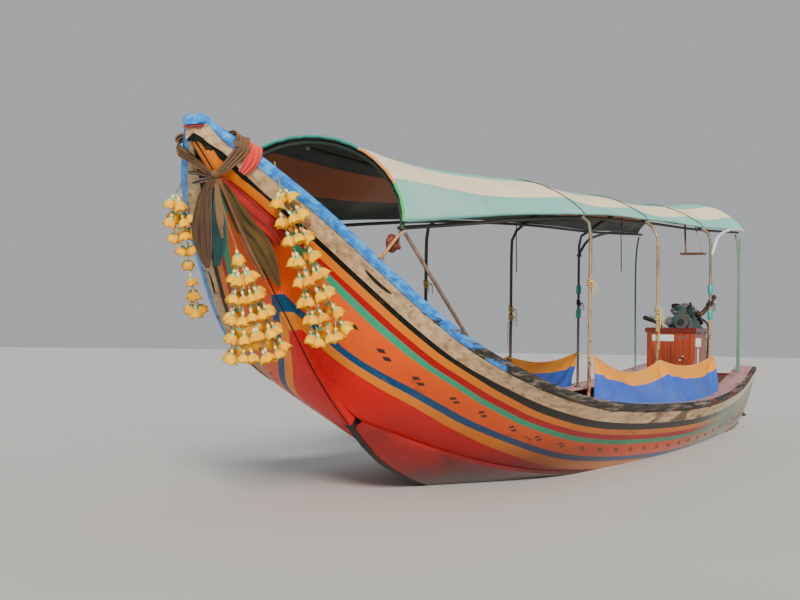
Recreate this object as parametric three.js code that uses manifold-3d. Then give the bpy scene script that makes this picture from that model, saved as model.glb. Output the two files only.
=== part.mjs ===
// A wooden longtail passenger boat: a flared hard-chine hull with a high raked prow, an arched
// canopy on steel hoops, a driver's seat box, and an engine that swivels on a post at the stern
// and drives a propeller on a long tail shaft.
// Millimetres. +X is towards the bow, +Y to port, +Z up. The origin is on the waterline at the
// centreline, amidships of the hull. "aft" is always the distance aft of the prow.
import * as THREE from "three";
import { mergeVertices } from "three/addons/utils/BufferGeometryUtils.js";
import Module from "manifold-3d";

const wasm = await Module();
wasm.setup();

// Driving dimensions
const HULL_LENGTH = 8900;
const PROW_X = HULL_LENGTH / 2;
const PLANK = 22; // thickness of the hull planking
const SEAM = 2; // gap between neighbouring planks
const STEM_HALF = 22; // half width of the keel and stem bar
const CAP_RAIL = 44; // height of the cap rail, down the side
const STRAKE = 92; // height of the raised sheer strake below the cap
const RAIL_OUT = 14; // the cap rail stands this far proud of the planking
const DECK = 24; // thickness of the side deck boards
const TUBE = 13; // radius of a canopy tube
const FLOOR_Z = 95; // underside of the floor boards
const FLOOR_T = 18;

// Hull lines: aft of prow, keel height, chine half breadth and height, sheer half breadth and height
const LINES = [
  [0, 1830, 43, 1842, 52, 1932],
  [250, 1615, 43, 1627, 270, 1705],
  [500, 1345, 43, 1357, 420, 1515],
  [800, 1030, 43, 1042, 555, 1290],
  [1100, 725, 43, 737, 680, 1075],
  [1400, 480, 50, 496, 785, 900],
  [1800, 215, 120, 362, 885, 748],
  [2400, 10, 330, 182, 930, 615],
  [3200, -115, 520, 55, 945, 512],
  [4500, -175, 600, -20, 930, 440],
  [6000, -180, 600, -45, 880, 415],
  [7500, -140, 530, -20, 770, 478],
  [8900, -70, 430, 60, 600, 640],
];
const STATIONS = [
  0, 120, 250, 380, 520, 660, 800, 950, 1100, 1250, 1400, 1600, 1800, 2050, 2400, 2800, 3200, 3800,
  4500, 5250, 6000, 6750, 7500, 8200, 8900,
];

// Canopy lines: aft of prow, half width, height of the lower edge, height of the crown, and the
// power of the arch: 1 is an ellipse, and a higher one has straighter slopes
const CANOPY = [
  [960, 600, 1500, 1962, 1],
  [1800, 617, 1590, 1955, 1.15],
  [2700, 600, 1690, 1990, 1.5],
  [3650, 575, 1782, 2035, 1.9],
  [5250, 535, 1880, 2085, 2],
  [6900, 550, 1945, 2160, 2],
  [8500, 555, 2035, 2315, 1.6],
];
const HOOPS_AFT = [960, 3650, 5250, 6900];
const COVER_T = 8;

// Drive
const SWIVEL_AFT = 8450;
const PIVOT_Z = 850;
const TAIL_PITCH = 20; // degrees, tail down while it runs
const TAIL_LENGTH = 3150; // tilt pivot to the propeller

const COLOURS = {
  keel: [0x2b2320, 0.8, 0],
  bottom: [0x8e1d1b, 0.6, 0],
  topside: [0xe07a1e, 0.5, 0],
  strake: [0xb9aa93, 0.75, 0],
  rail: [0x3c6fb0, 0.6, 0],
  deck: [0xc9605a, 0.7, 0],
  timber: [0x6b4a34, 0.8, 0],
  floor: [0x7a5a40, 0.85, 0],
  steel: [0x7d8577, 0.5, 0.6],
  cover: [0x5fa39b, 0.9, 0],
  curtain: [0x3f63b5, 0.85, 0],
  sash: [0x8a6a55, 0.9, 0],
  garland: [0xf2a51e, 0.9, 0],
  box: [0xa8431f, 0.5, 0],
  plastic: [0xe8e6dd, 0.4, 0],
  engine: [0x4a5a63, 0.5, 0.4],
  iron: [0x5a5350, 0.6, 0.7],
  bronze: [0xb08a4a, 0.4, 0.9],
};

// A smooth value of one column of a table whose first column is the distance aft
function smooth(table, column, aft) {
  const last = table.length - 1;
  const slope = (i) => {
    const a = table[Math.max(i - 1, 0)];
    const b = table[Math.min(i + 1, last)];
    return (b[column] - a[column]) / (b[0] - a[0]);
  };
  let i = table.findIndex((row) => row[0] > aft) - 1;
  if (i < 0) i = aft < table[0][0] ? 0 : last - 1;
  const [a, b] = [table[i], table[i + 1]];
  const run = b[0] - a[0];
  const t = THREE.MathUtils.clamp((aft - a[0]) / run, 0, 1);
  const [t2, t3] = [t * t, t * t * t];
  return (
    (2 * t3 - 3 * t2 + 1) * a[column] +
    (t3 - 2 * t2 + t) * run * slope(i) +
    (3 * t2 - 2 * t3) * b[column] +
    (t3 - t2) * run * slope(i + 1)
  );
}
const keelZ = (aft) => smooth(LINES, 1, aft);
const chine = (aft) => [Math.max(smooth(LINES, 2, aft), 43), smooth(LINES, 3, aft)];
const sheer = (aft) => [smooth(LINES, 4, aft), smooth(LINES, 5, aft)];
const xAt = (aft) => PROW_X - aft;

// A closed geometry from points and triangles, turned so that its faces point out
function closed(points, triangles) {
  let volume = 0;
  for (const [a, b, c] of triangles) {
    const [p, q, r] = [points[a], points[b], points[c]];
    volume +=
      p[0] * (q[1] * r[2] - q[2] * r[1]) -
      p[1] * (q[0] * r[2] - q[2] * r[0]) +
      p[2] * (q[0] * r[1] - q[1] * r[0]);
  }
  const faces = volume < 0 ? triangles.map(([a, b, c]) => [a, c, b]) : triangles;
  return new THREE.BufferGeometry()
    .setAttribute("position", new THREE.Float32BufferAttribute(points.flat(), 3))
    .setIndex(faces.flat());
}

// A solid through like outlines: sections is a list of [x, [[y, z], ...]]
function loft(sections) {
  const n = sections[0][1].length;
  const points = [];
  const triangles = [];
  for (const [x, outline] of sections) for (const [y, z] of outline) points.push([x, y, z]);
  for (let i = 0; i + 1 < sections.length; i++) {
    for (let j = 0; j < n; j++) {
      const a = i * n + j;
      const b = i * n + ((j + 1) % n);
      triangles.push([a, b, b + n], [a, b + n, a + n]);
    }
  }
  const cap = (index, flip) => {
    const contour = sections[index][1].map(([y, z]) => new THREE.Vector2(y, z));
    for (const [a, b, c] of THREE.ShapeUtils.triangulateShape(contour, [])) {
      const base = index * n;
      triangles.push(flip ? [base + a, base + b, base + c] : [base + a, base + c, base + b]);
    }
  };
  const area = THREE.ShapeUtils.area(sections[0][1].map(([y, z]) => new THREE.Vector2(y, z)));
  cap(0, area < 0);
  cap(sections.length - 1, area > 0);
  return closed(points, triangles);
}

// A loft along the hull between two places, with the outline given for each station
function hullLoft(from, to, outline) {
  const stops = [from, ...STATIONS.filter((a) => a > from + 20 && a < to - 20), to];
  return loft(stops.map((aft) => [xAt(aft), outline(aft)]));
}
const mirrored = (outline) => (aft) => outline(aft).map(([y, z]) => [-y, z]);

// Solids joined or cut
function solid(geometry) {
  const bare = geometry.clone();
  bare.deleteAttribute("normal");
  bare.deleteAttribute("uv");
  const merged = mergeVertices(bare, 1e-3);
  return new wasm.Manifold(
    new wasm.Mesh({
      numProp: 3,
      vertProperties: new Float32Array(merged.attributes.position.array),
      triVerts: new Uint32Array(merged.index.array),
    }),
  );
}
function geometryOf(made) {
  const mesh = made.getMesh();
  return new THREE.BufferGeometry()
    .setAttribute("position", new THREE.BufferAttribute(mesh.vertProperties, 3))
    .setIndex(new THREE.BufferAttribute(mesh.triVerts, 1));
}
const join = (...parts) => geometryOf(parts.map(solid).reduce((a, b) => a.add(b)));
const cut = (part, ...tools) => geometryOf(tools.map(solid).reduce((a, b) => a.subtract(b), solid(part)));

// Plain shapes by their limits
function box(x0, x1, y0, y1, z0, z1) {
  return new THREE.BoxGeometry(x1 - x0, y1 - y0, z1 - z0).translate(
    (x0 + x1) / 2,
    (y0 + y1) / 2,
    (z0 + z1) / 2,
  );
}
function tube(points, radius, steps, sides = 10) {
  const section = new THREE.Shape();
  for (let i = 0; i < sides; i++) {
    const angle = (2 * Math.PI * i) / sides;
    const place = [radius * Math.cos(angle), radius * Math.sin(angle)];
    if (i) section.lineTo(...place);
    else section.moveTo(...place);
  }
  section.closePath();
  const route = points.map((p) => new THREE.Vector3(...p));
  const path = route.length === 2 ? new THREE.LineCurve3(...route) : new THREE.CatmullRomCurve3(route);
  return new THREE.ExtrudeGeometry(section, { steps, bevelEnabled: false, extrudePath: path });
}
// A cylinder along X, Y or Z, centred
function rod(axis, radius, length, sides = 20) {
  const made = new THREE.CylinderGeometry(radius, radius, length, sides);
  if (axis === "x") made.rotateZ(Math.PI / 2);
  if (axis === "z") made.rotateX(Math.PI / 2);
  return made;
}
// An upright outline in X and Z, given thickness across Y
function plate(outline, y0, y1) {
  const shape = new THREE.Shape(outline.map(([x, z]) => new THREE.Vector2(x, z)));
  const made = new THREE.ExtrudeGeometry(shape, { depth: y1 - y0, bevelEnabled: false });
  return made.rotateX(Math.PI / 2).translate(0, y1, 0);
}

const boat = new THREE.Group();
function piece(name, geometry, colour, parent = boat) {
  const [color, roughness, metalness] = COLOURS[colour];
  const mesh = new THREE.Mesh(geometry, new THREE.MeshStandardMaterial({ color, roughness, metalness }));
  mesh.name = name;
  parent.add(mesh);
  return mesh;
}
function pair(name, geometryFor, colour) {
  piece(name + "_port", geometryFor(1), colour);
  piece(name + "_starboard", geometryFor(-1), colour);
}

// The hull side: its height along the planking, its outward direction, and a point on it, a
// fraction of the way from the sheer (0) to the chine (1)
const BULGE = 0.045; // how far the side bellies out, as a part of its height
const sideHeight = (aft) => {
  const [sy, sz] = sheer(aft);
  const [cy, cz] = chine(aft);
  return Math.hypot(sy - cy, sz - cz);
};
function sideNormal(aft) {
  const [sy, sz] = sheer(aft);
  const [cy, cz] = chine(aft);
  const height = sideHeight(aft);
  return [(sz - cz) / height, -(sy - cy) / height];
}
function side(aft, fraction) {
  const [sy, sz] = sheer(aft);
  const [cy, cz] = chine(aft);
  const belly = 4 * BULGE * sideHeight(aft) * fraction * (1 - fraction);
  const out = sideNormal(aft);
  return [sy + (cy - sy) * fraction + belly * out[0], sz + (cz - sz) * fraction + belly * out[1]];
}
const strakeTop = (aft) => Math.min((CAP_RAIL + SEAM) / sideHeight(aft), 0.4);
const strakeFoot = (aft) => Math.min((CAP_RAIL + STRAKE) / sideHeight(aft), 0.72);
// The skin's outline between two fractions, from outer face to inner face
function skin(aft, top, foot, steps, outward, thick) {
  const normal = sideNormal(aft);
  const outer = [];
  const inner = [];
  for (let i = 0; i <= steps; i++) {
    const [y, z] = side(aft, top + ((foot - top) * i) / steps);
    const reach = Math.max(y + outward * normal[0], STEM_HALF + SEAM + thick * 0.7);
    outer.push([reach, z + outward * normal[1]]);
    const within = Math.max(reach - thick * normal[0], STEM_HALF + SEAM);
    inner.push([within, z + (outward - thick) * normal[1]]);
  }
  return [...outer, ...inner.reverse()];
}

// Hull
function keelAndStem() {
  const outer = [];
  const inner = [];
  for (let i = 0; i <= 40; i++) {
    const aft = (HULL_LENGTH - 5) * (i / 40) ** 1.5;
    const depth = Math.min(80, sheer(aft)[1] - CAP_RAIL - 12 - keelZ(aft));
    outer.push([xAt(aft), keelZ(aft) - 12]);
    inner.push([xAt(aft), keelZ(aft) + depth]);
  }
  return plate([...outer, ...inner.reverse()], -STEM_HALF, STEM_HALF);
}
piece("keel_and_stem", keelAndStem(), "keel");

const bottomOutline = (aft) => {
  const [cy, cz] = chine(aft);
  const root = STEM_HALF + SEAM;
  const edge = Math.max(cy, root + 10);
  return [
    [root, keelZ(aft) - 6],
    [edge, cz - SEAM - PLANK],
    [edge, cz - SEAM],
    [root, keelZ(aft) + PLANK - 4],
  ];
};
const topsideOutline = (aft) => skin(aft, strakeFoot(aft) + SEAM / sideHeight(aft), 1, 5, 0, PLANK);
const strakeOutline = (aft) => skin(aft, strakeTop(aft), strakeFoot(aft), 2, 10, PLANK + 10);
const bySide = (outline, hand) => (hand > 0 ? outline : mirrored(outline));

pair("bottom_planking", (hand) => hullLoft(1500, HULL_LENGTH, bySide(bottomOutline, hand)), "bottom");
pair("topside", (hand) => hullLoft(12, HULL_LENGTH, bySide(topsideOutline, hand)), "topside");
pair("sheer_strake", (hand) => hullLoft(12, HULL_LENGTH, bySide(strakeOutline, hand)), "strake");

// The cap rail, and the side deck inside it
const railOutline = (aft) =>
  skin(aft, 0, strakeTop(aft) - SEAM / sideHeight(aft), 1, RAIL_OUT, PLANK + RAIL_OUT);
pair("cap_rail", (hand) => hullLoft(6, HULL_LENGTH, bySide(railOutline, hand)), "rail");

const DECK_FROM = 1500;
const DECK_TABLE = [
  [1500, 80],
  [2100, 160],
  [2800, 270],
  [4500, 280],
  [7500, 240],
  [8900, 200],
];
const deckTop = (aft) => sheer(aft)[1] + 8;
const deckInner = (aft) => sheer(aft)[0] - smooth(DECK_TABLE, 1, aft);
// Where the planking's inner face stands at a given height
function innerFace(aft, z) {
  const normal = sideNormal(aft);
  let [above, below] = [0, 1];
  for (let i = 0; i < 20; i++) {
    const middle = (above + below) / 2;
    if (side(aft, middle)[1] - PLANK * normal[1] > z) above = middle;
    else below = middle;
  }
  return side(aft, above)[0] - PLANK * normal[0];
}
const deckOuter = (aft) => innerFace(aft, deckTop(aft) - DECK) - 5;
const deckOutline = (aft) => [
  [deckOuter(aft), deckTop(aft)],
  [deckOuter(aft), deckTop(aft) - DECK],
  [deckInner(aft), deckTop(aft) - DECK],
  [deckInner(aft), deckTop(aft)],
];
pair("side_deck", (hand) => hullLoft(DECK_FROM, HULL_LENGTH, bySide(deckOutline, hand)), "deck");

const prowSection = (half, z0, z1) => [
  [half, z0],
  [half, z1 - 16],
  [half - 16, z1],
  [16 - half, z1],
  [-half, z1 - 16],
  [-half, z0],
];
piece(
  "prow_cap",
  loft([
    [PROW_X + 1, prowSection(60, 1884, 1944)],
    [PROW_X + 24, prowSection(56, 1886, 1938)],
    [PROW_X + 42, prowSection(44, 1888, 1922)],
  ]),
  "rail",
);

function transom() {
  const aft = 8880;
  const inset = 1.5;
  const [sy, sz] = side(aft, 0.12);
  const [my, mz] = side(aft, 0.55);
  const [cy, cz] = chine(aft);
  const reach = PLANK + inset;
  const half = [
    [sy - reach - 22, sz],
    [my - reach - 4, mz],
    [cy - reach - 3, cz + PLANK],
  ];
  const outline = [
    ...half,
    [30, keelZ(aft) + 86],
    ...half.map(([y, z]) => [-y, z]).reverse().flatMap((p, i) => (i ? [p] : [[-30, keelZ(aft) + 86], p])),
  ];
  return loft([
    [xAt(8896), outline],
    [xAt(8866), outline],
  ]);
}
piece("transom", transom(), "deck");

// Frames inside the planking, joined by the keelson
const FRAMES_AFT = [3500, 4250, 5000, 5750, 6500, 7250, 7950];
function frames() {
  const clear = PLANK + 12;
  const moulded = 40;
  const ribs = FRAMES_AFT.map((aft) => {
    const [cy, cz] = chine(aft);
    const [ty, tz] = side(aft, 0.3);
    const [my, mz] = side(aft, 0.65);
    const run = [
      [ty - clear - 6, tz],
      [my - clear - 6, mz],
      [cy - clear - 10, cz + clear + 4],
      [40, keelZ(aft) + clear + 58],
    ];
    const over = [
      [ty - clear - moulded - 6, tz],
      [my - clear - moulded - 6, mz],
      [cy - clear - moulded - 20, cz + clear + moulded - 12],
      [40, keelZ(aft) + clear + 90],
    ];
    return loft([
      [xAt(aft) + 20, ribOutline(run, over)],
      [xAt(aft) - 20, ribOutline(run, over)],
    ]);
  });
  return join(keelson(), ...ribs);
}
function ribOutline(outer, inner) {
  const across = (half) => [...half, ...half.map(([y, z]) => [-y, z]).reverse()];
  return [...across(outer), ...across(inner).reverse()];
}
function keelson() {
  const from = FRAMES_AFT[0] - 60;
  const to = FRAMES_AFT[FRAMES_AFT.length - 1] + 60;
  return hullLoft(from, to, (aft) => {
    const z = keelZ(aft) + 86;
    return [
      [38, z],
      [38, z + 26],
      [-38, z + 26],
      [-38, z],
    ];
  });
}
piece("frames", frames(), "timber");

function planOutline(from, to, half) {
  const port = [];
  for (let i = 0; i <= 8; i++) {
    const aft = from + ((to - from) * i) / 8;
    port.push([xAt(aft), half(aft)]);
  }
  return [...port, ...port.map(([x, y]) => [x, -y]).reverse()];
}
function flatBoard(outline, z0, z1) {
  const shape = new THREE.Shape(outline.map(([x, y]) => new THREE.Vector2(x, y)));
  return new THREE.ExtrudeGeometry(shape, { depth: z1 - z0, bevelEnabled: false }).translate(0, 0, z0);
}
piece(
  "floor_boards",
  flatBoard(planOutline(2900, 7900, (aft) => chine(aft)[0] - 145), FLOOR_Z, FLOOR_Z + FLOOR_T),
  "floor",
);

const FOREDECK_DROP = 112;
piece(
  "foredeck",
  hullLoft(930, 1760, (aft) => {
    const [y, z] = sheer(aft);
    const half = 0.5 * y;
    return [
      [half, z - FOREDECK_DROP],
      [-half, z - FOREDECK_DROP],
      [-half, z - FOREDECK_DROP - 20],
      [half, z - FOREDECK_DROP - 20],
    ];
  }),
  "floor",
);

// Bench seats: a plank on two cheek boards
const BENCHES_AFT = [3080, 3760, 4440, 5120, 5800, 6440];
const BENCH = { top: 370, plank: 28, halfLength: 520, depth: 250, cheekY: 270, cheek: 24 };
BENCHES_AFT.forEach((aft, i) => {
  const x = xAt(aft);
  const base = FLOOR_Z + FLOOR_T + 1;
  const cheeks = [1, -1].map((hand) => {
    const y = hand * BENCH.cheekY;
    return box(x - 90, x + 90, y - BENCH.cheek / 2, y + BENCH.cheek / 2, base, BENCH.top - 4);
  });
  const seat = box(
    x - BENCH.depth / 2,
    x + BENCH.depth / 2,
    -BENCH.halfLength,
    BENCH.halfLength,
    BENCH.top - BENCH.plank,
    BENCH.top,
  );
  piece("bench_" + (i + 1), join(seat, ...cheeks), "timber");
});

// Canopy
const canopyAt = (aft) => [1, 2, 3, 4].map((column) => smooth(CANOPY, column, aft));
// The arch's section, moved inwards along its normal, from just above one edge to the other
function arch(aft, inset, steps) {
  const [half, edge, crown, power] = canopyAt(aft);
  const at = (angle) => [half * Math.cos(angle), edge + (crown - edge) * Math.sin(angle) ** power];
  const [first, nudge] = [0.03, 0.02];
  const points = [];
  for (let i = 0; i <= steps; i++) {
    const angle = first + ((Math.PI - 2 * first) * i) / steps;
    const [y, z] = at(angle);
    const [before, after] = [at(angle - nudge), at(angle + nudge)];
    const [dy, dz] = [after[0] - before[0], after[1] - before[1]];
    const length = Math.hypot(dy, dz);
    points.push([y - (inset * dz) / length, z + (inset * dy) / length]);
  }
  return points;
}
function canopyCover() {
  const stops = [930, 1350, 1800, 2250, 2700, 3200, 3650, 4450, 5250, 6050, 6900, 7700, 8520];
  return loft(
    stops.map((aft) => [xAt(aft), [...arch(aft, -COVER_T, 12), ...arch(aft, 0, 12).reverse()]]),
  );
}
piece("canopy_cover", canopyCover(), "cover");

// Each hoop's tube comes out from under the cloth and bends down to its leg: the bends' heights
const HOOP_INSET = TUBE + 8;
const LEG_Y = 629;
const HOOP_BENDS = [0, 1690, 1738, 1858];
function hoopSide(curve, foot, bend) {
  const [edgeY, edgeZ] = curve[0];
  const shoulder = [LEG_Y - 0.32 * (LEG_Y - edgeY), bend + 0.52 * (edgeZ - bend)];
  return [[LEG_Y, foot], [LEG_Y, (foot + bend) / 2], [LEG_Y, bend - 60], [LEG_Y - 4, bend], shoulder];
}
HOOPS_AFT.forEach((aft, i) => {
  const x = xAt(aft);
  const [half, edge] = canopyAt(aft);
  const curve = arch(aft, HOOP_INSET, 10);
  const front = i === 0;
  const side = front ? [[half - HOOP_INSET, edge - 30]] : hoopSide(curve, deckTop(aft) + 3, HOOP_BENDS[i]);
  const route = [
    ...side.map(([y, z]) => [x, y, z]),
    ...curve.map(([y, z]) => [x, y, z]),
    ...side.map(([y, z]) => [x, -y, z]).reverse(),
  ];
  piece("canopy_hoop_" + (i + 1), tube(route, TUBE, front ? 26 : 44, 8), "steel");
});

const RAIL = 11;
const RAIL_STOPS = [975, 1800, 2700, 3650, 5250, 6900, 8480];
const underHoop = HOOP_INSET + TUBE + RAIL + 1;
piece(
  "ridge_rail",
  tube(
    RAIL_STOPS.map((aft) => [xAt(aft), 0, canopyAt(aft)[2] - underHoop - 3]),
    RAIL,
    28,
    8,
  ),
  "steel",
);
const sideRail = (aft) => [canopyAt(aft)[0] - underHoop - 4, canopyAt(aft)[1] - 24];
pair(
  "canopy_rail",
  (hand) =>
    tube(
      RAIL_STOPS.map((aft) => [xAt(aft), hand * sideRail(aft)[0], sideRail(aft)[1]]),
      RAIL,
      28,
      8,
    ),
  "steel",
);
const AFT_POST = { aft: 8380, y: 530, radius: 9 };
pair(
  "aft_post",
  (hand) => {
    const x = xAt(AFT_POST.aft);
    const top = sideRail(AFT_POST.aft)[1] - RAIL - 22;
    const [railY] = sideRail(AFT_POST.aft);
    return tube(
      [
        [x, hand * AFT_POST.y, deckTop(AFT_POST.aft) + 3],
        [x, hand * AFT_POST.y, top - 160],
        [x, hand * railY, top + 8],
      ],
      AFT_POST.radius,
      12,
      8,
    );
  },
  "steel",
);
const STRUT = { topAft: 990, footAft: 1400, radius: 10, lift: 22 };
pair(
  "front_strut",
  (hand) => {
    const [half, edge] = canopyAt(STRUT.topAft);
    const [y, z] = sheer(STRUT.footAft);
    return tube(
      [
        [xAt(STRUT.topAft), hand * (half - HOOP_INSET), edge - 30 - STRUT.radius - 12],
        [xAt(STRUT.footAft), hand * (y - 34), z + STRUT.lift],
      ],
      STRUT.radius,
      1,
      8,
    );
  },
  "steel",
);

// Splash curtains, hung on the hoop legs and spread outwards to the rail
const CURTAIN = { from: 3645, to: 6955, top: 650, foot: 660, thick: 8, rise: 338, inset: 72 };
const CURTAIN_SPREAD = [
  [3645, 0],
  [4050, 0.7],
  [4450, 1],
  [5700, 1],
  [6450, 0.72],
  [6955, 0.4],
];
const CURTAIN_SWAGS = [
  [3645, 5250, 104],
  [5250, 6955, 56],
];
function curtainOutline(aft) {
  const [sheerY, sheerZ] = sheer(aft);
  const [start, end, sag] = CURTAIN_SWAGS.find(([, to]) => aft <= to);
  const topZ = sheerZ + CURTAIN.rise - sag * Math.sin((Math.PI * (aft - start)) / (end - start));
  const spread = smooth(CURTAIN_SPREAD, 1, aft);
  const footY = CURTAIN.foot + (sheerY - CURTAIN.inset - CURTAIN.foot) * spread;
  const footZ = deckTop(aft) + 4;
  return [
    [CURTAIN.top + CURTAIN.thick, topZ],
    [CURTAIN.top, topZ],
    [footY, footZ],
    [footY + CURTAIN.thick, footZ],
  ];
}
function curtain(hand) {
  const outline = bySide(curtainOutline, hand);
  const sections = [];
  const bays = 10;
  for (let i = 0; i <= bays; i++) {
    const aft = CURTAIN.from + ((CURTAIN.to - CURTAIN.from) * i) / bays;
    sections.push([xAt(aft), outline(aft)]);
  }
  return loft(sections);
}
pair("splash_curtain", curtain, "curtain");

// Cloth and flowers on the prow
function prowSash() {
  const [from, to] = [112, 192];
  const [y] = sheer(to + 10);
  const [, z] = sheer(from - 10);
  const low = keelZ(to + 10) - 16;
  const ring = (grow) => [
    [y + 10 + grow, z + 20 + grow],
    [y + 22 + grow, z - 90 - grow],
    [70 + grow, low - grow],
    [-70 - grow, low - grow],
    [-y - 22 - grow, z - 90 - grow],
    [-y - 10 - grow, z + 20 + grow],
  ];
  const band = (grow, extra) => loft([from - extra, to + extra].map((aft) => [xAt(aft), ring(grow)]));
  return cut(band(30, 0), band(8, 5));
}
piece("prow_sash", prowSash(), "sash");

function taperedRoll(from, to, radii) {
  const [a, b] = [new THREE.Vector3(...from), new THREE.Vector3(...to)];
  const length = a.distanceTo(b);
  const profile = [new THREE.Vector2(0, 0)];
  radii.forEach((r, i) => profile.push(new THREE.Vector2(r, (length * i) / (radii.length - 1))));
  profile.push(new THREE.Vector2(0, length));
  const made = new THREE.LatheGeometry(profile, 14);
  const turn = new THREE.Quaternion().setFromUnitVectors(
    new THREE.Vector3(0, 1, 0),
    b.clone().sub(a).normalize(),
  );
  return made.applyQuaternion(turn).translate(a.x, a.y, a.z);
}
// Garlands: top and bottom places (aft, y, z) and the radii from top to bottom
const GARLANDS = [
  ["garland_port", [300, 296, 1560], [612, 374, 885], [36, 56, 74, 92, 104]],
  ["garland_centre", [395, -30, 1330], [575, -40, 800], [20, 62, 96, 128, 140]],
  ["garland_starboard", [410, -446, 1590], [672, -484, 1052], [30, 40, 46, 52, 50]],
];
for (const [name, top, foot, radii] of GARLANDS) {
  const place = ([aft, y, z]) => [xAt(aft), y, z];
  piece(name, taperedRoll(place(top), place(foot), radii), "garland");
}
piece(
  "prow_tails",
  taperedRoll([xAt(100), 12, 1540], [xAt(195), -14, 1200], [34, 58, 62, 42]),
  "sash",
);

// Driver's seat box
const SEAT = { fromAft: 6950, toAft: 7350, y0: 30, y1: 480, top: 975, wall: 16, lid: 44, over: 16 };
function seatBox() {
  const [x0, x1] = [xAt(SEAT.toAft), xAt(SEAT.fromAft)];
  const base = FLOOR_Z + FLOOR_T + 1;
  const w = SEAT.wall;
  return cut(
    box(x0, x1, SEAT.y0, SEAT.y1, base, SEAT.top),
    box(x0 + w, x1 - w, SEAT.y0 + w, SEAT.y1 - w, base + w, SEAT.top + w),
  );
}
piece("seat_box", seatBox(), "box");
piece(
  "seat_box_lid",
  box(
    xAt(SEAT.toAft) - SEAT.over,
    xAt(SEAT.fromAft) + SEAT.over,
    SEAT.y0 - SEAT.over,
    SEAT.y1 + SEAT.over,
    SEAT.top + 1,
    SEAT.top + 1 + SEAT.lid,
  ),
  "box",
);
piece("switch_box", box(xAt(7045), xAt(6975), SEAT.y1 + 1, SEAT.y1 + 31, 850, 930), "plastic");

// Engine beam and swivel
const SWIVEL_X = xAt(SWIVEL_AFT);
const deckZ = deckTop(SWIVEL_AFT - 120);
const BEAM_TOP = deckZ - DECK - 6;
piece("engine_beam", box(SWIVEL_X - 110, SWIVEL_X + 110, -505, 505, BEAM_TOP - 80, BEAM_TOP), "timber");
const SOCKET = { top: BEAM_TOP + 150, bore: 27, radius: 46 };
piece(
  "swivel_socket",
  cut(
    join(
      box(SWIVEL_X - 100, SWIVEL_X + 100, -100, 100, BEAM_TOP + 1, BEAM_TOP + 16),
      rod("z", SOCKET.radius, 149).translate(SWIVEL_X, 0, BEAM_TOP + 1 + 74.5),
    ),
    rod("z", SOCKET.bore, 300).translate(SWIVEL_X, 0, BEAM_TOP + 162),
  ),
  "iron",
);
const CHEEK_Y = 165;
function yoke() {
  const base = SOCKET.top + 4;
  const parts = [
    rod("z", 24, 120).translate(SWIVEL_X, 0, base - 50),
    box(SWIVEL_X - 60, SWIVEL_X + 60, -CHEEK_Y - 14, CHEEK_Y + 14, base, base + 20),
  ];
  for (const hand of [1, -1]) {
    const y = hand * CHEEK_Y;
    parts.push(box(SWIVEL_X - 45, SWIVEL_X + 45, y - 14, y + 14, base + 10, PIVOT_Z + 40));
    parts.push(rod("y", 15, 64, 16).translate(SWIVEL_X, hand * (CHEEK_Y - 32), PIVOT_Z));
  }
  return join(...parts);
}
piece("swivel_yoke", yoke(), "iron");

// Tail: built level round the tilt pivot and then pitched, its forward end up
const tail = new THREE.Group();
tail.position.set(SWIVEL_X, 0, PIVOT_Z);
tail.rotation.y = -THREE.MathUtils.degToRad(TAIL_PITCH);
boat.add(tail);

const CRADLE_Y = 125;
function cradle() {
  const parts = [
    box(270, 310, -CRADLE_Y - 10, CRADLE_Y + 10, -22, 34),
    box(-400, -360, -CRADLE_Y - 10, CRADLE_Y + 10, -22, 34),
    box(-400, -330, -40, 40, -22, 110),
  ];
  for (const hand of [1, -1]) {
    const y = hand * CRADLE_Y;
    parts.push(box(-400, 310, y - 11, y + 11, -30, 34));
  }
  const bores = rod("y", 17, 400, 16);
  const shaftWay = rod("x", 26, 300, 20).translate(-380, 0, 62);
  return cut(join(...parts), bores, shaftWay);
}
piece("engine_cradle", cradle(), "iron", tail);

const SHAFT_Z = 62;
function engine() {
  return join(
    box(-230, 250, -105, 105, 36, 250),
    box(-180, 200, -75, 75, 240, 350),
    rod("x", 120, 70, 24).translate(-250, 0, 160),
    rod("x", 70, 60, 20).translate(275, 0, 140),
  );
}
piece("engine_block", engine(), "engine", tail);
piece(
  "exhaust",
  tube(
    [
      [120, 82, 300],
      [118, 140, 306],
      [60, 185, 400],
      [-60, 190, 520],
      [-140, 190, 600],
    ],
    24,
    18,
    10,
  ),
  "iron",
  tail,
);
piece(
  "tiller",
  tube(
    [
      [324, -90, 6],
      [480, -150, 30],
      [700, -170, 10],
      [960, -170, -60],
    ],
    17,
    18,
    10,
  ),
  "iron",
  tail,
);

const TUBE_FROM = -402;
const TUBE_TO = -TAIL_LENGTH + 110;
function shaftTube() {
  const ring = [
    [25, TUBE_FROM],
    [34, TUBE_FROM],
    [34, TUBE_TO],
    [25, TUBE_TO],
    [25, TUBE_FROM],
  ].map(([r, x]) => new THREE.Vector2(r, -x));
  const pipe = new THREE.LatheGeometry(ring, 20).rotateZ(Math.PI / 2).translate(0, 0, SHAFT_Z);
  const fin = plate(
    [
      [TUBE_TO + 420, SHAFT_Z - 28],
      [TUBE_TO + 60, SHAFT_Z - 28],
      [TUBE_TO + 60, SHAFT_Z - 190],
      [TUBE_TO + 140, SHAFT_Z - 190],
    ],
    -6,
    6,
  );
  return cut(join(pipe, fin), rod("x", 24.9, 400).translate(TUBE_TO + 240, 0, SHAFT_Z));
}
piece("shaft_tube", shaftTube(), "iron", tail);

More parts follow.
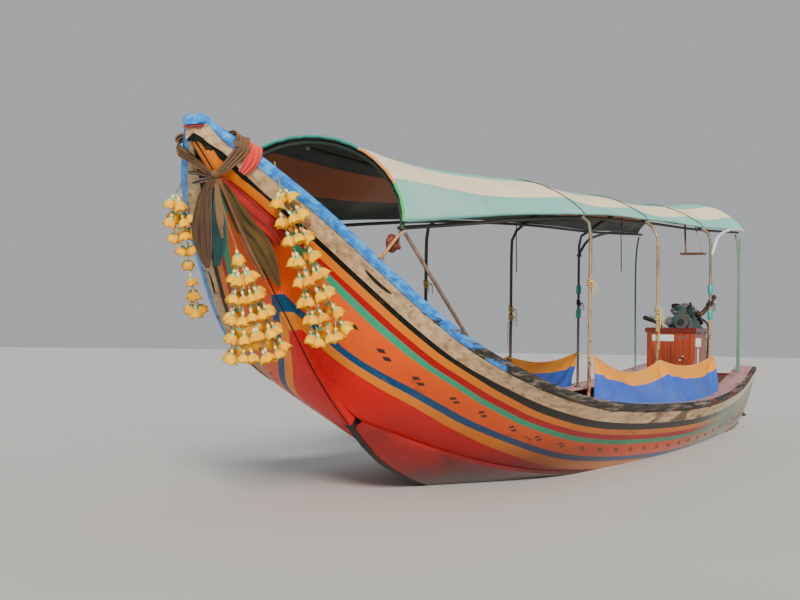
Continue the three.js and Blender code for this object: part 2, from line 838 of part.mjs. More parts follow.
const PROP = { radius: 165, root: 20, hub: 36, length: 110, blades: 3, bladeT: 9, halfChord: 56, pitch: 0.55 };
function propeller() {
  const hubX = -TAIL_LENGTH;
  const parts = [
    rod("x", 18, TAIL_LENGTH - 330, 16).translate(-(TAIL_LENGTH + 330) / 2, 0, 0),
    rod("x", PROP.hub, PROP.length, 20).translate(hubX, 0, 0),
  ];
  for (let i = 0; i < PROP.blades; i++) {
    const blade = rod("x", 1, PROP.bladeT, 18)
      .scale(1, PROP.halfChord, (PROP.radius - PROP.root) / 2)
      .rotateZ(PROP.pitch)
      .translate(hubX, 0, (PROP.radius + PROP.root) / 2)
      .rotateX((2 * Math.PI * i) / PROP.blades);
    parts.push(blade);
  }
  return join(...parts).translate(0, 0, SHAFT_Z);
}
piece("propeller", propeller(), "bronze", tail);

export default boat;
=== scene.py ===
"""A wooden longtail boat: the looks of every piece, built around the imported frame.

Metres. +X is towards the bow, +Y to port, +Z up, and the waterline is at Z = 0.
Distances along the hull are given as aft of the prow, and heights on its side as below the sheer.
"""

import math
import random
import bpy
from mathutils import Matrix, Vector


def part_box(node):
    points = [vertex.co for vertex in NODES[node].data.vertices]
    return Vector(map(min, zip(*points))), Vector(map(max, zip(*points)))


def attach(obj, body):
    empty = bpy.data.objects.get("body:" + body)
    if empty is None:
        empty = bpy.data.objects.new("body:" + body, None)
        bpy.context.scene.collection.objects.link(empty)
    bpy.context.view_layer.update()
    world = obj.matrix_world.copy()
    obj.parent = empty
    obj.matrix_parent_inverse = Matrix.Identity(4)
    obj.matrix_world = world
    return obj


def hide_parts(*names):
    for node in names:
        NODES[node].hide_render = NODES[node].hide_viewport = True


bl_info = {
    "name": "Longtail Boat",
    "version": (1, 0, 0),
    "blender": (4, 5, 0),
    "location": "3D View > Sidebar > Longtail Boat",
    "description": "Builds the paint, cloth, flowers and fittings of a longtail boat around its frame",
    "category": "Object",
}

import bmesh
import bpy
from bpy.props import FloatProperty, FloatVectorProperty, IntProperty, PointerProperty
from mathutils import Matrix, Vector, noise

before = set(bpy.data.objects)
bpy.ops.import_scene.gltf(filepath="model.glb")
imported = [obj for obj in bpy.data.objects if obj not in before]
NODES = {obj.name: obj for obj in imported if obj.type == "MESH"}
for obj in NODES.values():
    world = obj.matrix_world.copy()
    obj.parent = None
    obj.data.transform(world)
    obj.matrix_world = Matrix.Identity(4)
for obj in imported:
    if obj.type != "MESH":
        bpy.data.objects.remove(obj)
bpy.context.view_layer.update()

SIDES = (("port", 1), ("starboard", -1))

# Driving dimensions of the frame, in metres
HULL_LENGTH = 8.9
PROW_X = HULL_LENGTH / 2
PLANK = 0.022
SEAM = 0.002
STEM_HALF = 0.022
STEM_ROOT = STEM_HALF + SEAM
STEM_EDGE = 0.043
RAIL_HIGH = 0.044
STRAKE_HIGH = 0.092
RAIL_OUT = 0.014
STRAKE_OUT = 0.01
DECK_T = 0.024
DECK_FROM = 1.5
BULGE = 0.045
BOTTOM_SWELL = 0.03

# Hull lines: aft of prow, keel height, chine half breadth and height, sheer half breadth and height
LINES = (
    (0.0, 1.83, 0.043, 1.842, 0.052, 1.932),
    (0.25, 1.615, 0.043, 1.627, 0.27, 1.705),
    (0.5, 1.345, 0.043, 1.357, 0.42, 1.515),
    (0.8, 1.03, 0.043, 1.042, 0.555, 1.29),
    (1.1, 0.725, 0.043, 0.737, 0.68, 1.075),
    (1.4, 0.48, 0.05, 0.496, 0.785, 0.9),
    (1.8, 0.215, 0.12, 0.362, 0.885, 0.748),
    (2.4, 0.01, 0.33, 0.182, 0.93, 0.615),
    (3.2, -0.115, 0.52, 0.055, 0.945, 0.512),
    (4.5, -0.175, 0.6, -0.02, 0.93, 0.44),
    (6.0, -0.18, 0.6, -0.045, 0.88, 0.415),
    (7.5, -0.14, 0.53, -0.02, 0.77, 0.478),
    (8.9, -0.07, 0.43, 0.06, 0.6, 0.64),
)

# How far below the sheer the strake's foot is, narrowing to the prow
STRAKE_FOOT = ((0.0, 0.106), (0.08, 0.088), (0.121, 0.091), (0.214, 0.121), (0.3, RAIL_HIGH + STRAKE_HIGH))

# Side deck width inwards of the sheer
DECK_WIDTH = ((1.5, 0.08), (2.1, 0.16), (2.8, 0.27), (4.5, 0.28), (7.5, 0.24), (8.9, 0.2))

# Canopy lines: aft of prow, half width, heights of the lower edge and the crown, the arch's power
CANOPY = (
    (0.96, 0.6, 1.5, 1.962, 1.0),
    (1.8, 0.617, 1.59, 1.955, 1.15),
    (2.7, 0.6, 1.69, 1.99, 1.5),
    (3.65, 0.575, 1.782, 2.035, 1.9),
    (5.25, 0.535, 1.88, 2.085, 2.0),
    (6.9, 0.55, 1.945, 2.16, 2.0),
    (8.5, 0.555, 2.035, 2.315, 1.6),
)
HOOPS_AFT = (0.96, 3.65, 5.25, 6.9)
FORE_LEG, MIDDLE_LEG, AFT_LEG = HOOPS_AFT[1:]
SPANS_AFT = HOOPS_AFT + (8.42,)
LEG_Y = 0.629
COVER_FROM = 0.93
COVER_TO = 8.52
HOOP_NAMES = ["canopy_hoop_%d" % i for i in range(1, 5)]

# Where the cover's stripes change, as shares of its width
STRIPES_AT = (0.143, 0.335, 0.665, 0.857)

# Painted bands below the strake: name, and how far below the sheer each ends at BANDS_AFT
BANDS_AFT = (0.0, 0.07, 0.13, 0.23, 0.6, 1.0, 1.45, 1.9, 2.4, 8.9)
BANDS = (
    ("dark_green", (0.112, 0.108, 0.134, 0.16, 0.17, 0.17, 0.17, 0.19, 0.2, 0.2)),
    ("ochre", (0.215, 0.215, 0.215, 0.215, 0.215, 0.214, 0.216, 0.238, 0.246, 0.246)),
    ("crimson", (0.243, 0.243, 0.243, 0.243, 0.243, 0.252, 0.255, 0.284, 0.29, 0.29)),
    ("mint", (0.286, 0.286, 0.286, 0.286, 0.286, 0.297, 0.29, 0.323, 0.33, 0.33)),
    ("orange", (0.53, 0.53, 0.53, 0.53, 0.53, 0.515, 0.443, 0.468, 0.45, 0.45)),
    ("blue", (0.575, 0.575, 0.575, 0.575, 0.575, 0.558, 0.494, 0.524, 0.5, 0.5)),
    ("yellow", (0.628, 0.628, 0.628, 0.628, 0.628, 0.612, 0.556, 0.594, 0.585, 0.585)),
)

# Tail: the tilt pivot and its pitch, for what is bolted to the engine
TAIL_PIVOT = Vector((-4.0, 0.0, 0.85))
TAIL_PITCH = math.radians(20)
TAIL_MATRIX = Matrix.Translation(TAIL_PIVOT) @ Matrix.Rotation(-TAIL_PITCH, 4, "Y")


def linear(code):
    """A colour code as on a paint chart, as the linear red, green, blue and alpha of a shader."""
    parts = [int(code[i : i + 2], 16) / 255 for i in (1, 3, 5)]
    return tuple(c / 12.92 if c <= 0.04045 else ((c + 0.055) / 1.055) ** 2.4 for c in parts) + (1.0,)


PAINTS = {
    "dark_green": "#08150F",
    "ochre": "#E07A06",
    "crimson": "#B00003",
    "mint": "#27A078",
    "orange": "#EE5A00",
    "blue": "#044E7C",
    "yellow": "#F08A0C",
    "scarlet": "#DC0000",
}


# Geometry node trees and finishes by name, made by main before the first piece
TREES = {}
FINISH = {}


# Shapes of the hull and canopy


def clamp(value, low=0.0, high=1.0):
    return max(low, min(high, value))


def ease(value, low, high):
    """0 below low, 1 above high and smooth between."""
    t = clamp((value - low) / (high - low))
    return t * t * (3 - 2 * t)


def smooth(table, column, aft):
    """A smooth value of one column of a table whose first column is the distance aft."""
    last = len(table) - 1

    def slope(i):
        a, b = table[max(i - 1, 0)], table[min(i + 1, last)]
        return (b[column] - a[column]) / (b[0] - a[0])

    i = 0
    while i < last - 1 and table[i + 1][0] <= aft:
        i += 1
    a, b = table[i], table[i + 1]
    run = b[0] - a[0]
    t = clamp((aft - a[0]) / run)
    return (
        (2 * t**3 - 3 * t**2 + 1) * a[column]
        + (t**3 - 2 * t**2 + t) * run * slope(i)
        + (3 * t**2 - 2 * t**3) * b[column]
        + (t**3 - t**2) * run * slope(i + 1)
    )


def x_at(aft):
    return PROW_X - aft


def keel_z(aft):
    return smooth(LINES, 1, aft)


def chine(aft):
    return max(smooth(LINES, 2, aft), STEM_EDGE), smooth(LINES, 3, aft)


def sheer(aft):
    return smooth(LINES, 4, aft), smooth(LINES, 5, aft)


def side_height(aft):
    (sy, sz), (cy, cz) = sheer(aft), chine(aft)
    return math.hypot(sy - cy, sz - cz)


def side_normal(aft):
    (sy, sz), (cy, cz) = sheer(aft), chine(aft)
    height = math.hypot(sy - cy, sz - cz)
    return (sz - cz) / height, -(sy - cy) / height


def side_point(aft, below, outward=0.0):
    """A place on the hull's side, so far below the sheer along the planking."""
    (sy, sz), (cy, cz) = sheer(aft), chine(aft)
    height = side_height(aft)
    out = side_normal(aft)
    t = below / height
    reach = 4 * BULGE * height * t * (1 - t) + outward
    return sy + (cy - sy) * t + reach * out[0], sz + (cz - sz) * t + reach * out[1]


def strake_top(aft):
    return min(RAIL_HIGH + SEAM, 0.4 * side_height(aft))


def strake_foot(aft):
    return STRAKE_FOOT[-1][1] if aft > STRAKE_FOOT[-1][0] else smooth(STRAKE_FOOT, 1, aft)


def skin_pair(aft, below, outward, thick):
    """The outer and the inner point of the planking at one place."""
    ny, nz = side_normal(aft)
    y, z = side_point(aft, below)
    reach = max(y + outward * ny, STEM_ROOT + thick * 0.7)
    within = max(reach - thick * ny, STEM_ROOT)
    return (reach, z + outward * nz), (within, z + (outward - thick) * nz)


def inner_face(aft, z):
    """The half breadth of the planking's inner face at a height."""
    ny, nz = side_normal(aft)
    above, below = 0.0, side_height(aft)
    for _ in range(20):
        middle = (above + below) / 2
        if side_point(aft, middle)[1] - PLANK * nz > z:
            above = middle
        else:
            below = middle
    return side_point(aft, above)[0] - PLANK * ny


def bottom_section(aft, share):
    """Half breadth, outer height and inner height of the bottom planking, from keel (0) to chine (1)."""
    cy, cz = chine(aft)
    run = max(cy - STEM_ROOT, 0.01)
    swell = BOTTOM_SWELL * run * math.sin(math.pi * share)
    outer_root, outer_edge = keel_z(aft) - 0.006, cz - SEAM - PLANK
    inner_root, inner_edge = keel_z(aft) + PLANK - 0.004, cz - SEAM
    outer = outer_root + (outer_edge - outer_root) * share - swell
    inner = inner_root + (inner_edge - inner_root) * share - swell
    return STEM_ROOT + run * share, outer, inner


def afloat_half(aft):
    """The half breadth, to the middle of the planking, at the waterline."""
    _, outer, inner = bottom_section(aft, 1.0)
    if outer + inner < 0:
        return inner_face(aft, 0.0) + PLANK / 2
    dry, wet = 1.0, 0.0
    for _ in range(20):
        middle = (dry + wet) / 2
        half, outer, inner = bottom_section(aft, middle)
        if outer + inner > 0:
            dry = middle
        else:
            wet = middle
    return half


def deck_top(aft):
    return sheer(aft)[1] + 0.008


def deck_inner(aft):
    return sheer(aft)[0] - smooth(DECK_WIDTH, 1, aft)


def deck_outer(aft):
    return inner_face(aft, deck_top(aft) - DECK_T) - 0.005


def section(aft, hand, pairs):
    """The points of a cross-section, from half breadths and heights."""
    return [Vector((x_at(aft), hand * y, z)) for y, z in pairs]


def skin_point(aft, hand, below, outward):
    """A place on one of the two sides, as a point."""
    return section(aft, hand, [side_point(aft, below, outward)])[0]


def stops(start, end, spacing, finer_until=0.0, finer=0.05):
    """Places along the hull, closer together near the prow."""
    places = [start]
    while places[-1] < end - 1e-6:
        step = finer if places[-1] < finer_until else spacing
        places.append(min(places[-1] + step, end))
    return places


def canopy_at(aft):
    return tuple(smooth(CANOPY, column, aft) for column in (1, 2, 3, 4))


def nearest_hoop(aft):
    return min(SPANS_AFT, key=lambda hoop: abs(hoop - aft))


def between_hoops(aft):
    """0 at a hoop and 1 midway between two, with the length of the span."""
    for a, b in zip(SPANS_AFT, SPANS_AFT[1:]):
        if a <= aft <= b:
            return math.sin(math.pi * (aft - a) / (b - a)) ** 1.3, b - a
    return 0.0, 1.0


def cover_point(aft, angle, lift=0.0):
    """A place on the canopy cloth: the angle runs from the port edge, over the crown, to starboard."""
    half, edge, crown, power = canopy_at(aft)
    angle = clamp(angle, 0.03, math.pi - 0.03)

    def arch(a):
        return half * math.cos(a), edge + (crown - edge) * math.sin(a) ** power

    (y, z), before, after = arch(angle), arch(angle - 0.02), arch(angle + 0.02)
    dy, dz = after[0] - before[0], after[1] - before[1]
    length = math.hypot(dy, dz)
    slack, span = between_hoops(aft)
    flank = math.sin(2 * angle) ** 2
    dip = slack * (0.013 + 0.03 * flank) * min(span, 2.7) / 2.0
    folds = noise.noise(Vector((aft * 0.55, angle * 5.0, 3.1))) * 0.01 * slack
    folds += noise.noise(Vector((aft * 1.7, angle * 13.0, 7.7))) * 0.003
    puckers = math.exp(-((aft - nearest_hoop(aft)) / 0.12) ** 2)
    folds += puckers * 0.0012 * math.sin(angle * 40.0 + 3 * math.sin(aft * 9.0))
    reach = 0.004 + lift - dip + folds
    hem = clamp(1 - math.sin(angle) / 0.3)
    z += hem * (0.016 * slack * min(span, 2.0) / 1.6 - 0.008)
    return Vector((x_at(aft), y + reach * dz / length, z - reach * dy / length))


def cover_row(aft, shares):
    """Places across the cloth at the given shares of its width."""
    angles = [math.pi * k / 120 for k in range(121)]
    points = [cover_point(aft, angle) for angle in angles]
    runs = [0.0]
    for a, b in zip(points, points[1:]):
        runs.append(runs[-1] + (b - a).length)
    row, k = [], 0
    for share in shares:
        while k < 119 and runs[k + 1] < share * runs[-1]:
            k += 1
        t = clamp((share * runs[-1] - runs[k]) / max(runs[k + 1] - runs[k], 1e-9))
        row.append(points[k].lerp(points[k + 1], t))
    return row


# Building pieces


def placed(name, data):
    """A new object with the given mesh, lamp or camera, in the scene."""
    obj = bpy.data.objects.new(name, data)
    bpy.context.scene.collection.objects.link(obj)
    return obj


def mesh_of(name, points, faces, edges=()):
    """A new mesh of the given points, faces and edges."""
    mesh = bpy.data.meshes.new(name)
    mesh.from_pydata(points, list(edges), faces)
    return mesh


def turns(count):
    """The angles of so many places round a circle."""
    return [2 * math.pi * i / count for i in range(count)]


class Shape:
    """The points, faces and UVs of one piece while it is being made."""

    def __init__(self, matrix=None):
        self.points, self.faces, self.uvs, self.slots = [], [], [], []
        self.matrix = matrix or Matrix.Identity(4)
        self.slot = 0

    def add(self, points, faces, uvs=None):
        """Adds points and faces, which wear the finish of the current slot."""
        first = len(self.points)
        self.points += [self.matrix @ Vector(p) for p in points]
        self.uvs += uvs or [(0.0, 0.0)] * len(points)
        self.faces += [[first + i for i in face] for face in faces]
        self.slots += [self.slot] * len(faces)
        return self

    def loft(self, loops, uvs=None, round_it=True, ends=True):
        """A skin over loops of equally many points, closed round them and at the ends if asked."""
        count = len(loops[0])
        wide = count if round_it else count - 1
        faces = []
        for i in range(len(loops) - 1):
            for j in range(wide):
                k = (j + 1) % count
                faces.append((i * count + j, i * count + k, (i + 1) * count + k, (i + 1) * count + j))
        if ends and round_it:
            faces.append(tuple(range(count)))
            faces.append(tuple(range((len(loops) - 1) * count, len(loops) * count)))
        return self.add(sum(map(list, loops), []), faces, sum(map(list, uvs), []) if uvs else None)

    def tube(self, path, radius, sides, closed=False):
        """A round tube along a path; the radius is a number or a list, one for each point."""
        path = [Vector(p) for p in path]
        radii = radius if hasattr(radius, "__len__") else [radius] * len(path)
        loops, uvs = [], []
        across = None
        gone = 0.0
        for i, here in enumerate(path):
            if closed:
                ahead = path[(i + 1) % len(path)] - path[i - 1]
            else:
                ahead = path[min(i + 1, len(path) - 1)] - path[max(i - 1, 0)]
            ahead = ahead.normalized()
            if across is None:
                across = ahead.orthogonal().normalized()
            across = (across - ahead * across.dot(ahead)).normalized()
            other = ahead.cross(across)
            loops.append(
                [here + radii[i] * (math.cos(a) * across + math.sin(a) * other) for a in turns(sides)]
            )
            gone += (here - path[i - 1]).length if i else 0.0
            uvs.append([(gone, radii[i] * a) for a in turns(sides)])
        if closed:
            loops.append(loops[0])
            uvs.append(uvs[0])
        return self.loft(loops, uvs, ends=not closed)

    def turned(self, profile, base, axis, sides):
        """A turned shape: the profile is (radius, distance along the axis), from the base."""
        base, axis = Vector(base), Vector(axis).normalized()
        across = axis.orthogonal().normalized()
        other = axis.cross(across)
        loops = []
        for radius, along in profile:
            centre, reach = base + axis * along, max(radius, 2e-4)
            loops.append(
                [centre + reach * (math.cos(a) * across + math.sin(a) * other) for a in turns(sides)]
            )
        return self.loft(loops)

    def block(self, low, high, bevel, segments=2):
        """A box with eased edges."""
        made = bmesh.new()
        bmesh.ops.create_cube(made, size=1)
        size = [b - a for a, b in zip(low, high)]
        middle = [(a + b) / 2 for a, b in zip(low, high)]
        for vert in made.verts:
            vert.co = Vector([vert.co[i] * size[i] + middle[i] for i in range(3)])
        bevel = min(bevel, 0.3 * min(size))
        bmesh.ops.bevel(
            made, geom=list(made.edges), offset=bevel, segments=segments, affect="EDGES", profile=0.6
        )
        made.verts.index_update()
        self.add([v.co.copy() for v in made.verts], [[v.index for v in f.verts] for f in made.faces])
        made.free()
        return self

    def piece(self, name, finishes, slot, body="hull", replaces=(), crease=38, turn=True):
        """The finished object; with turn, its faces are made to look outwards."""
        mesh = mesh_of(name, self.points, self.faces)
        layer = mesh.uv_layers.new(name="Surface")
        for loop in mesh.loops:
            layer.data[loop.index].uv = self.uvs[loop.vertex_index]
        for finish in [finishes] if isinstance(finishes, str) else finishes:
            mesh.materials.append(FINISH[finish])
        mesh.polygons.foreach_set("material_index", self.slots)
        made = bmesh.new()
        made.from_mesh(mesh)
        bmesh.ops.remove_doubles(made, verts=made.verts, dist=1e-6)
        if turn:
            bmesh.ops.recalc_face_normals(made, faces=made.faces)
        made.to_mesh(mesh)
        made.free()
        mesh.shade_smooth()
        mesh.set_sharp_from_angle(angle=math.radians(crease))
        return settle(placed(name, mesh), body, replaces)


def settle(obj, body, replaces=()):
    """Says which body a piece rides on, and the CAD nodes that it stands for."""
    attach(obj, body)
    if replaces:
        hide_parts(*replaces)
    return obj


def dress(finish, *names):
    """Gives CAD nodes the finish of that name."""
    for name in names:
        slots = NODES[name].data.materials
        slots.clear()
        slots.append(FINISH[finish])


def baked(obj, name):
    """The piece with its modifiers applied, as a plain mesh of its own."""
    graph = bpy.context.evaluated_depsgraph_get()
    mesh = bpy.data.meshes.new_from_object(obj.evaluated_get(graph))
    bpy.data.objects.remove(obj)
    return placed(name, mesh)


def curve_points(points, count):
    """A smooth line through a few points, as many points long as asked."""
    points = [Vector(p) for p in points]
    padded = [2 * points[0] - points[1]] + points + [2 * points[-1] - points[-2]]
    line = []
    for k in range(count):
        place = k * (len(points) - 1) / (count - 1)
        i = min(int(place), len(points) - 2)
        t = place - i
        a, b, c, d = padded[i : i + 4]
        line.append(
            0.5 * (2 * b + (c - a) * t + (2 * a - 5 * b + 4 * c - d) * t**2 + (3 * b - a - 3 * c + d) * t**3)
        )
    return line


# Geometry node trees, and what runs them


def new_tree(title, **inputs):
    """A tree that takes geometry and the named inputs, and gives geometry."""
    tree = bpy.data.node_groups.new(title, "GeometryNodeTree")
    for name, kind in {"Geometry": "Geometry", **inputs}.items():
        tree.interface.new_socket(name, in_out="INPUT", socket_type="NodeSocket" + kind)
    tree.interface.new_socket("Geometry", in_out="OUTPUT", socket_type="NodeSocketGeometry")
    return tree


def scatter_tree():
    """Copies of one small object on points, each facing its point's way, turned and sized at random."""
    sizes = {"Smallest": "Float", "Largest": "Float", "Spin": "Float"}
    tree = new_tree("Place copies", Copy="Object", **sizes, Seed="Int", Finish="Material")
    add, link = tree.nodes.new, tree.links.new
    given, out = add("NodeGroupInput"), add("NodeGroupOutput")
    copy = add("GeometryNodeObjectInfo")
    copy.inputs["As Instance"].default_value = True
    facing = add("GeometryNodeInputNamedAttribute")
    facing.data_type = "FLOAT_VECTOR"
    facing.inputs["Name"].default_value = "facing"
    align = add("FunctionNodeAlignRotationToVector")
    align.axis = "Z"
    spin, size = add("FunctionNodeRandomValue"), add("FunctionNodeRandomValue")
    turn, about = add("ShaderNodeCombineXYZ"), add("FunctionNodeEulerToRotation")
    rotate = add("FunctionNodeRotateRotation")
    rotate.rotation_space = "LOCAL"
    place = add("GeometryNodeInstanceOnPoints")
    realize, paint = add("GeometryNodeRealizeInstances"), add("GeometryNodeSetMaterial")
    link(given.outputs["Copy"], copy.inputs["Object"])
    link(facing.outputs["Attribute"], align.inputs["Vector"])
    link(given.outputs["Spin"], spin.inputs[3])
    link(given.outputs["Seed"], spin.inputs["Seed"])
    link(spin.outputs[1], turn.inputs["Z"])
    link(turn.outputs[0], about.inputs[0])
    link(align.outputs[0], rotate.inputs["Rotation"])
    link(about.outputs[0], rotate.inputs["Rotate By"])
    link(given.outputs["Smallest"], size.inputs[2])
    link(given.outputs["Largest"], size.inputs[3])
    link(given.outputs["Seed"], size.inputs["Seed"])
    link(given.outputs["Geometry"], place.inputs["Points"])
    link(copy.outputs["Geometry"], place.inputs["Instance"])
    link(rotate.outputs[0], place.inputs["Rotation"])
    link(size.outputs[1], place.inputs["Scale"])
    link(place.outputs[0], realize.inputs[0])
    link(realize.outputs[0], paint.inputs["Geometry"])
    link(given.outputs["Finish"], paint.inputs["Material"])
    link(paint.outputs[0], out.inputs[0])
    return tree


def rope_tree():
    """A laid rope or a plain cord along the edges of a mesh line."""
    tree = new_tree("Follow a line", Radius="Float", Spacing="Float", Sides="Int", Finish="Material")
    add, link = tree.nodes.new, tree.links.new
    given, out = add("NodeGroupInput"), add("NodeGroupOutput")
    line, even = add("GeometryNodeMeshToCurve"), add("GeometryNodeResampleCurve")
    even.mode = "LENGTH"
    ring, sweep = add("GeometryNodeCurvePrimitiveCircle"), add("GeometryNodeCurveToMesh")
    sweep.inputs["Fill Caps"].default_value = True
    realize, paint = add("GeometryNodeRealizeInstances"), add("GeometryNodeSetMaterial")
    link(given.outputs["Geometry"], line.inputs["Mesh"])
    link(line.outputs[0], even.inputs["Curve"])
    link(given.outputs["Spacing"], even.inputs["Length"])
    link(given.outputs["Radius"], ring.inputs["Radius"])
    link(given.outputs["Sides"], ring.inputs["Resolution"])
    link(even.outputs[0], sweep.inputs["Curve"])
    link(ring.outputs[0], sweep.inputs["Profile Curve"])
    link(sweep.outputs[0], realize.inputs[0])
    link(realize.outputs[0], paint.inputs["Geometry"])
    link(given.outputs["Finish"], paint.inputs["Material"])
    link(paint.outputs[0], out.inputs[0])
    return tree


def apply_tree(obj, tree, values):
    """Runs a tree on an object with the named inputs, and returns the result as a plain mesh."""
    modifier = obj.modifiers.new(tree.name, "NODES")
    modifier.node_group = tree
    for item in tree.interface.items_tree:
        if item.in_out == "INPUT" and item.name in values:
            modifier[item.identifier] = values[item.name]
    obj.update_tag()
    bpy.context.view_layer.update()
    return baked(obj, obj.name)


def thicken(cloth, thickness, offset=0.0, lining=False):
    """Gives a sheet its thickness; the inner side can wear the piece's second finish."""
    solid = cloth.modifiers.new("Thickness", "SOLIDIFY")
    solid.thickness = thickness
    solid.offset = offset
    solid.material_offset = 1 if lining else 0
    graph = bpy.context.evaluated_depsgraph_get()
    cloth.data = bpy.data.meshes.new_from_object(cloth.evaluated_get(graph))
    cloth.modifiers.clear()


def declare_sheet(rows, held):
    """Measures a cloth's width, length and area from its rows of points."""
    wide = max(sum((b - a).length for a, b in zip(row, row[1:])) for row in rows)
    columns = range(0, len(rows[0]), max(1, len(rows[0]) // 6))
    long = max(sum((b[j] - a[j]).length for a, b in zip(rows, rows[1:])) for j in columns)
    area = 0.0
    for a, b in zip(rows, rows[1:]):
        for j in range(len(a) - 1):
            area += (a[j + 1] - a[j]).cross(b[j] - a[j]).length / 2
            area += (b[j] - b[j + 1]).cross(a[j + 1] - b[j + 1]).length / 2
    area = clamp(area, 0.31 * wide * long, wide * long)


def scatter(name, spots, copy, finish, sizes=(1.0, 1.0), *, seed=1, body="hull"):
    """One piece made of copies of a small shape, on a list of (place, way it faces)."""
    mesh = mesh_of(name, [p for p, _ in spots], [])
    facing = mesh.attributes.new("facing", "FLOAT_VECTOR", "POINT")
    facing.data.foreach_set("vector", [c for _, way in spots for c in way])
    points, source = placed(name, mesh), placed(name + "_copy", copy)
    low, high = sizes
    values = {
        "Copy": source, "Smallest": low, "Largest": high, "Spin": 6.28, "Seed": seed, "Finish": FINISH[finish]
    }
    made = apply_tree(points, TREES["scatter"], values)
    bpy.data.objects.remove(source)
    return settle(made, body)


def rope(name, lines, radius, finish, body="hull", spacing=None, sides=8):
    """Cords along one or more lines of points, as one piece."""
    points, edges = [], []
    for line in lines:
        first = len(points)
        points += [tuple(p) for p in line]
        edges += [(first + i, first + i + 1) for i in range(len(line) - 1)]
    wire = placed(name, mesh_of(name, points, [], edges))
    values = {"Radius": radius, "Spacing": spacing or radius * 3, "Sides": sides, "Finish": FINISH[finish]}
    made = apply_tree(wire, TREES["rope"], values)
    made.data.shade_smooth()
    return settle(made, body)


def free_cord(name, points, radius, finish):
    """A limp cord that hangs from its first point."""
    made = rope(name, [points], radius, finish)


# Finishes


class Finish:
    """One material, wired node by node, on object coordinates or the piece's own UV map."""

    def __init__(self, name, roughness=0.5, metallic=0.0, **fixed):
        self.material = bpy.data.materials.new(name)
        self.material.use_nodes = True
        self.tree = self.material.node_tree
        self.shader = next(n for n in self.tree.nodes if n.type == "BSDF_PRINCIPLED")
        self.shader.inputs["Roughness"].default_value = roughness
        self.shader.inputs["Metallic"].default_value = metallic
        for socket, value in fixed.items():
            self.shader.inputs[socket.replace("_", " ")].default_value = value
        coordinates = self.tree.nodes.new("ShaderNodeTexCoord")
        self.place = coordinates.outputs["Object"]
        self.uv = coordinates.outputs["UV"]

    def feed(self, socket, value):
        if isinstance(value, bpy.types.NodeSocket):
            self.tree.links.new(value, socket)
        else:
            socket.default_value = linear(value) if isinstance(value, str) else value

    def node(self, kind, inputs, outlet=0, **settings):
        """A node's output, after its settings and its inputs, which are values or other outputs."""
        made = self.tree.nodes.new("ShaderNode" + kind)
        for name, value in settings.items():
            setattr(made, name, value)
        for socket, value in inputs.items():
            self.feed(made.inputs[socket], value)
        return made.outputs[outlet]

    def stretched(self, scale, source=None):
        return self.node("Mapping", {"Vector": source or self.place, "Scale": scale})

    def noise(self, scale, detail=4.0, stretch=(1, 1, 1), source=None, warp=0.0):
        look = {"Scale": scale, "Detail": detail, "Roughness": 0.55, "Distortion": warp}
        return self.node("TexNoise", {"Vector": self.stretched(stretch, source), **look}, "Fac")

    def cells(self, scale, stretch):
        return self.node("TexVoronoi", {"Vector": self.stretched(stretch), "Scale": scale}, "Distance")

    def waves(self, scale, axis, source, warp=0.0, shape="SIN"):
        inputs = {"Vector": source, "Scale": scale, "Distortion": warp}
        return self.node("TexWave", inputs, "Fac", bands_direction=axis, wave_profile=shape)

    def maths(self, operation, a, b):
        return self.node("Math", {0: a, 1: b}, operation=operation)

    def plus(self, a, b):
        return self.maths("ADD", a, b)

    def minus(self, a, b):
        return self.maths("SUBTRACT", a, b)

    def times(self, a, b):
        return self.maths("MULTIPLY", a, b)

    def part(self, vector, axis):
        return self.node("SeparateXYZ", {0: vector}, axis)

    def mask(self, value, low, high, bottom=0.0, top=1.0):
        """A smooth step of a value from low to high."""
        limits = {"From Min": low, "From Max": high, "To Min": bottom, "To Max": top}
        return self.node("MapRange", {"Value": value, **limits}, interpolation_type="SMOOTHSTEP")

    def ramp(self, value, steps, way="LINEAR"):
        made = self.tree.nodes.new("ShaderNodeValToRGB")
        made.color_ramp.interpolation = way
        marks = made.color_ramp.elements
        while len(marks) < len(steps):
            marks.new(0.5)
        for mark, (place, colour) in zip(marks, steps):
            mark.position = place
            mark.color = linear(colour)
        self.feed(made.inputs[0], value)
        return made.outputs[0]

    def mix(self, share, a, b, way="MIX"):
        return self.node("Mix", {0: share, 6: a, 7: b}, 2, data_type="RGBA", blend_type=way)

    def over(self, base, colour, value, low, high, least, most, way="MIX"):
        """A colour laid over the base as a value goes from low to high."""
        return self.mix(self.mask(value, low, high, least, most), base, colour, way)

    def bump(self, height, strength, distance):
        made = self.node("Bump", {"Strength": strength, "Distance": distance, "Height": height})
        self.feed(self.shader.inputs["Normal"], made)
        return self

    def colour(self, value):
        self.feed(self.shader.inputs["Base Color"], value)
        return self

    def rough(self, value):
        self.feed(self.shader.inputs["Roughness"], value)
        return self


def shade(code, factor):
    """A colour code's colour, darker or lighter by a factor."""
    return tuple(c * factor for c in linear(code)[:3]) + (1.0,)


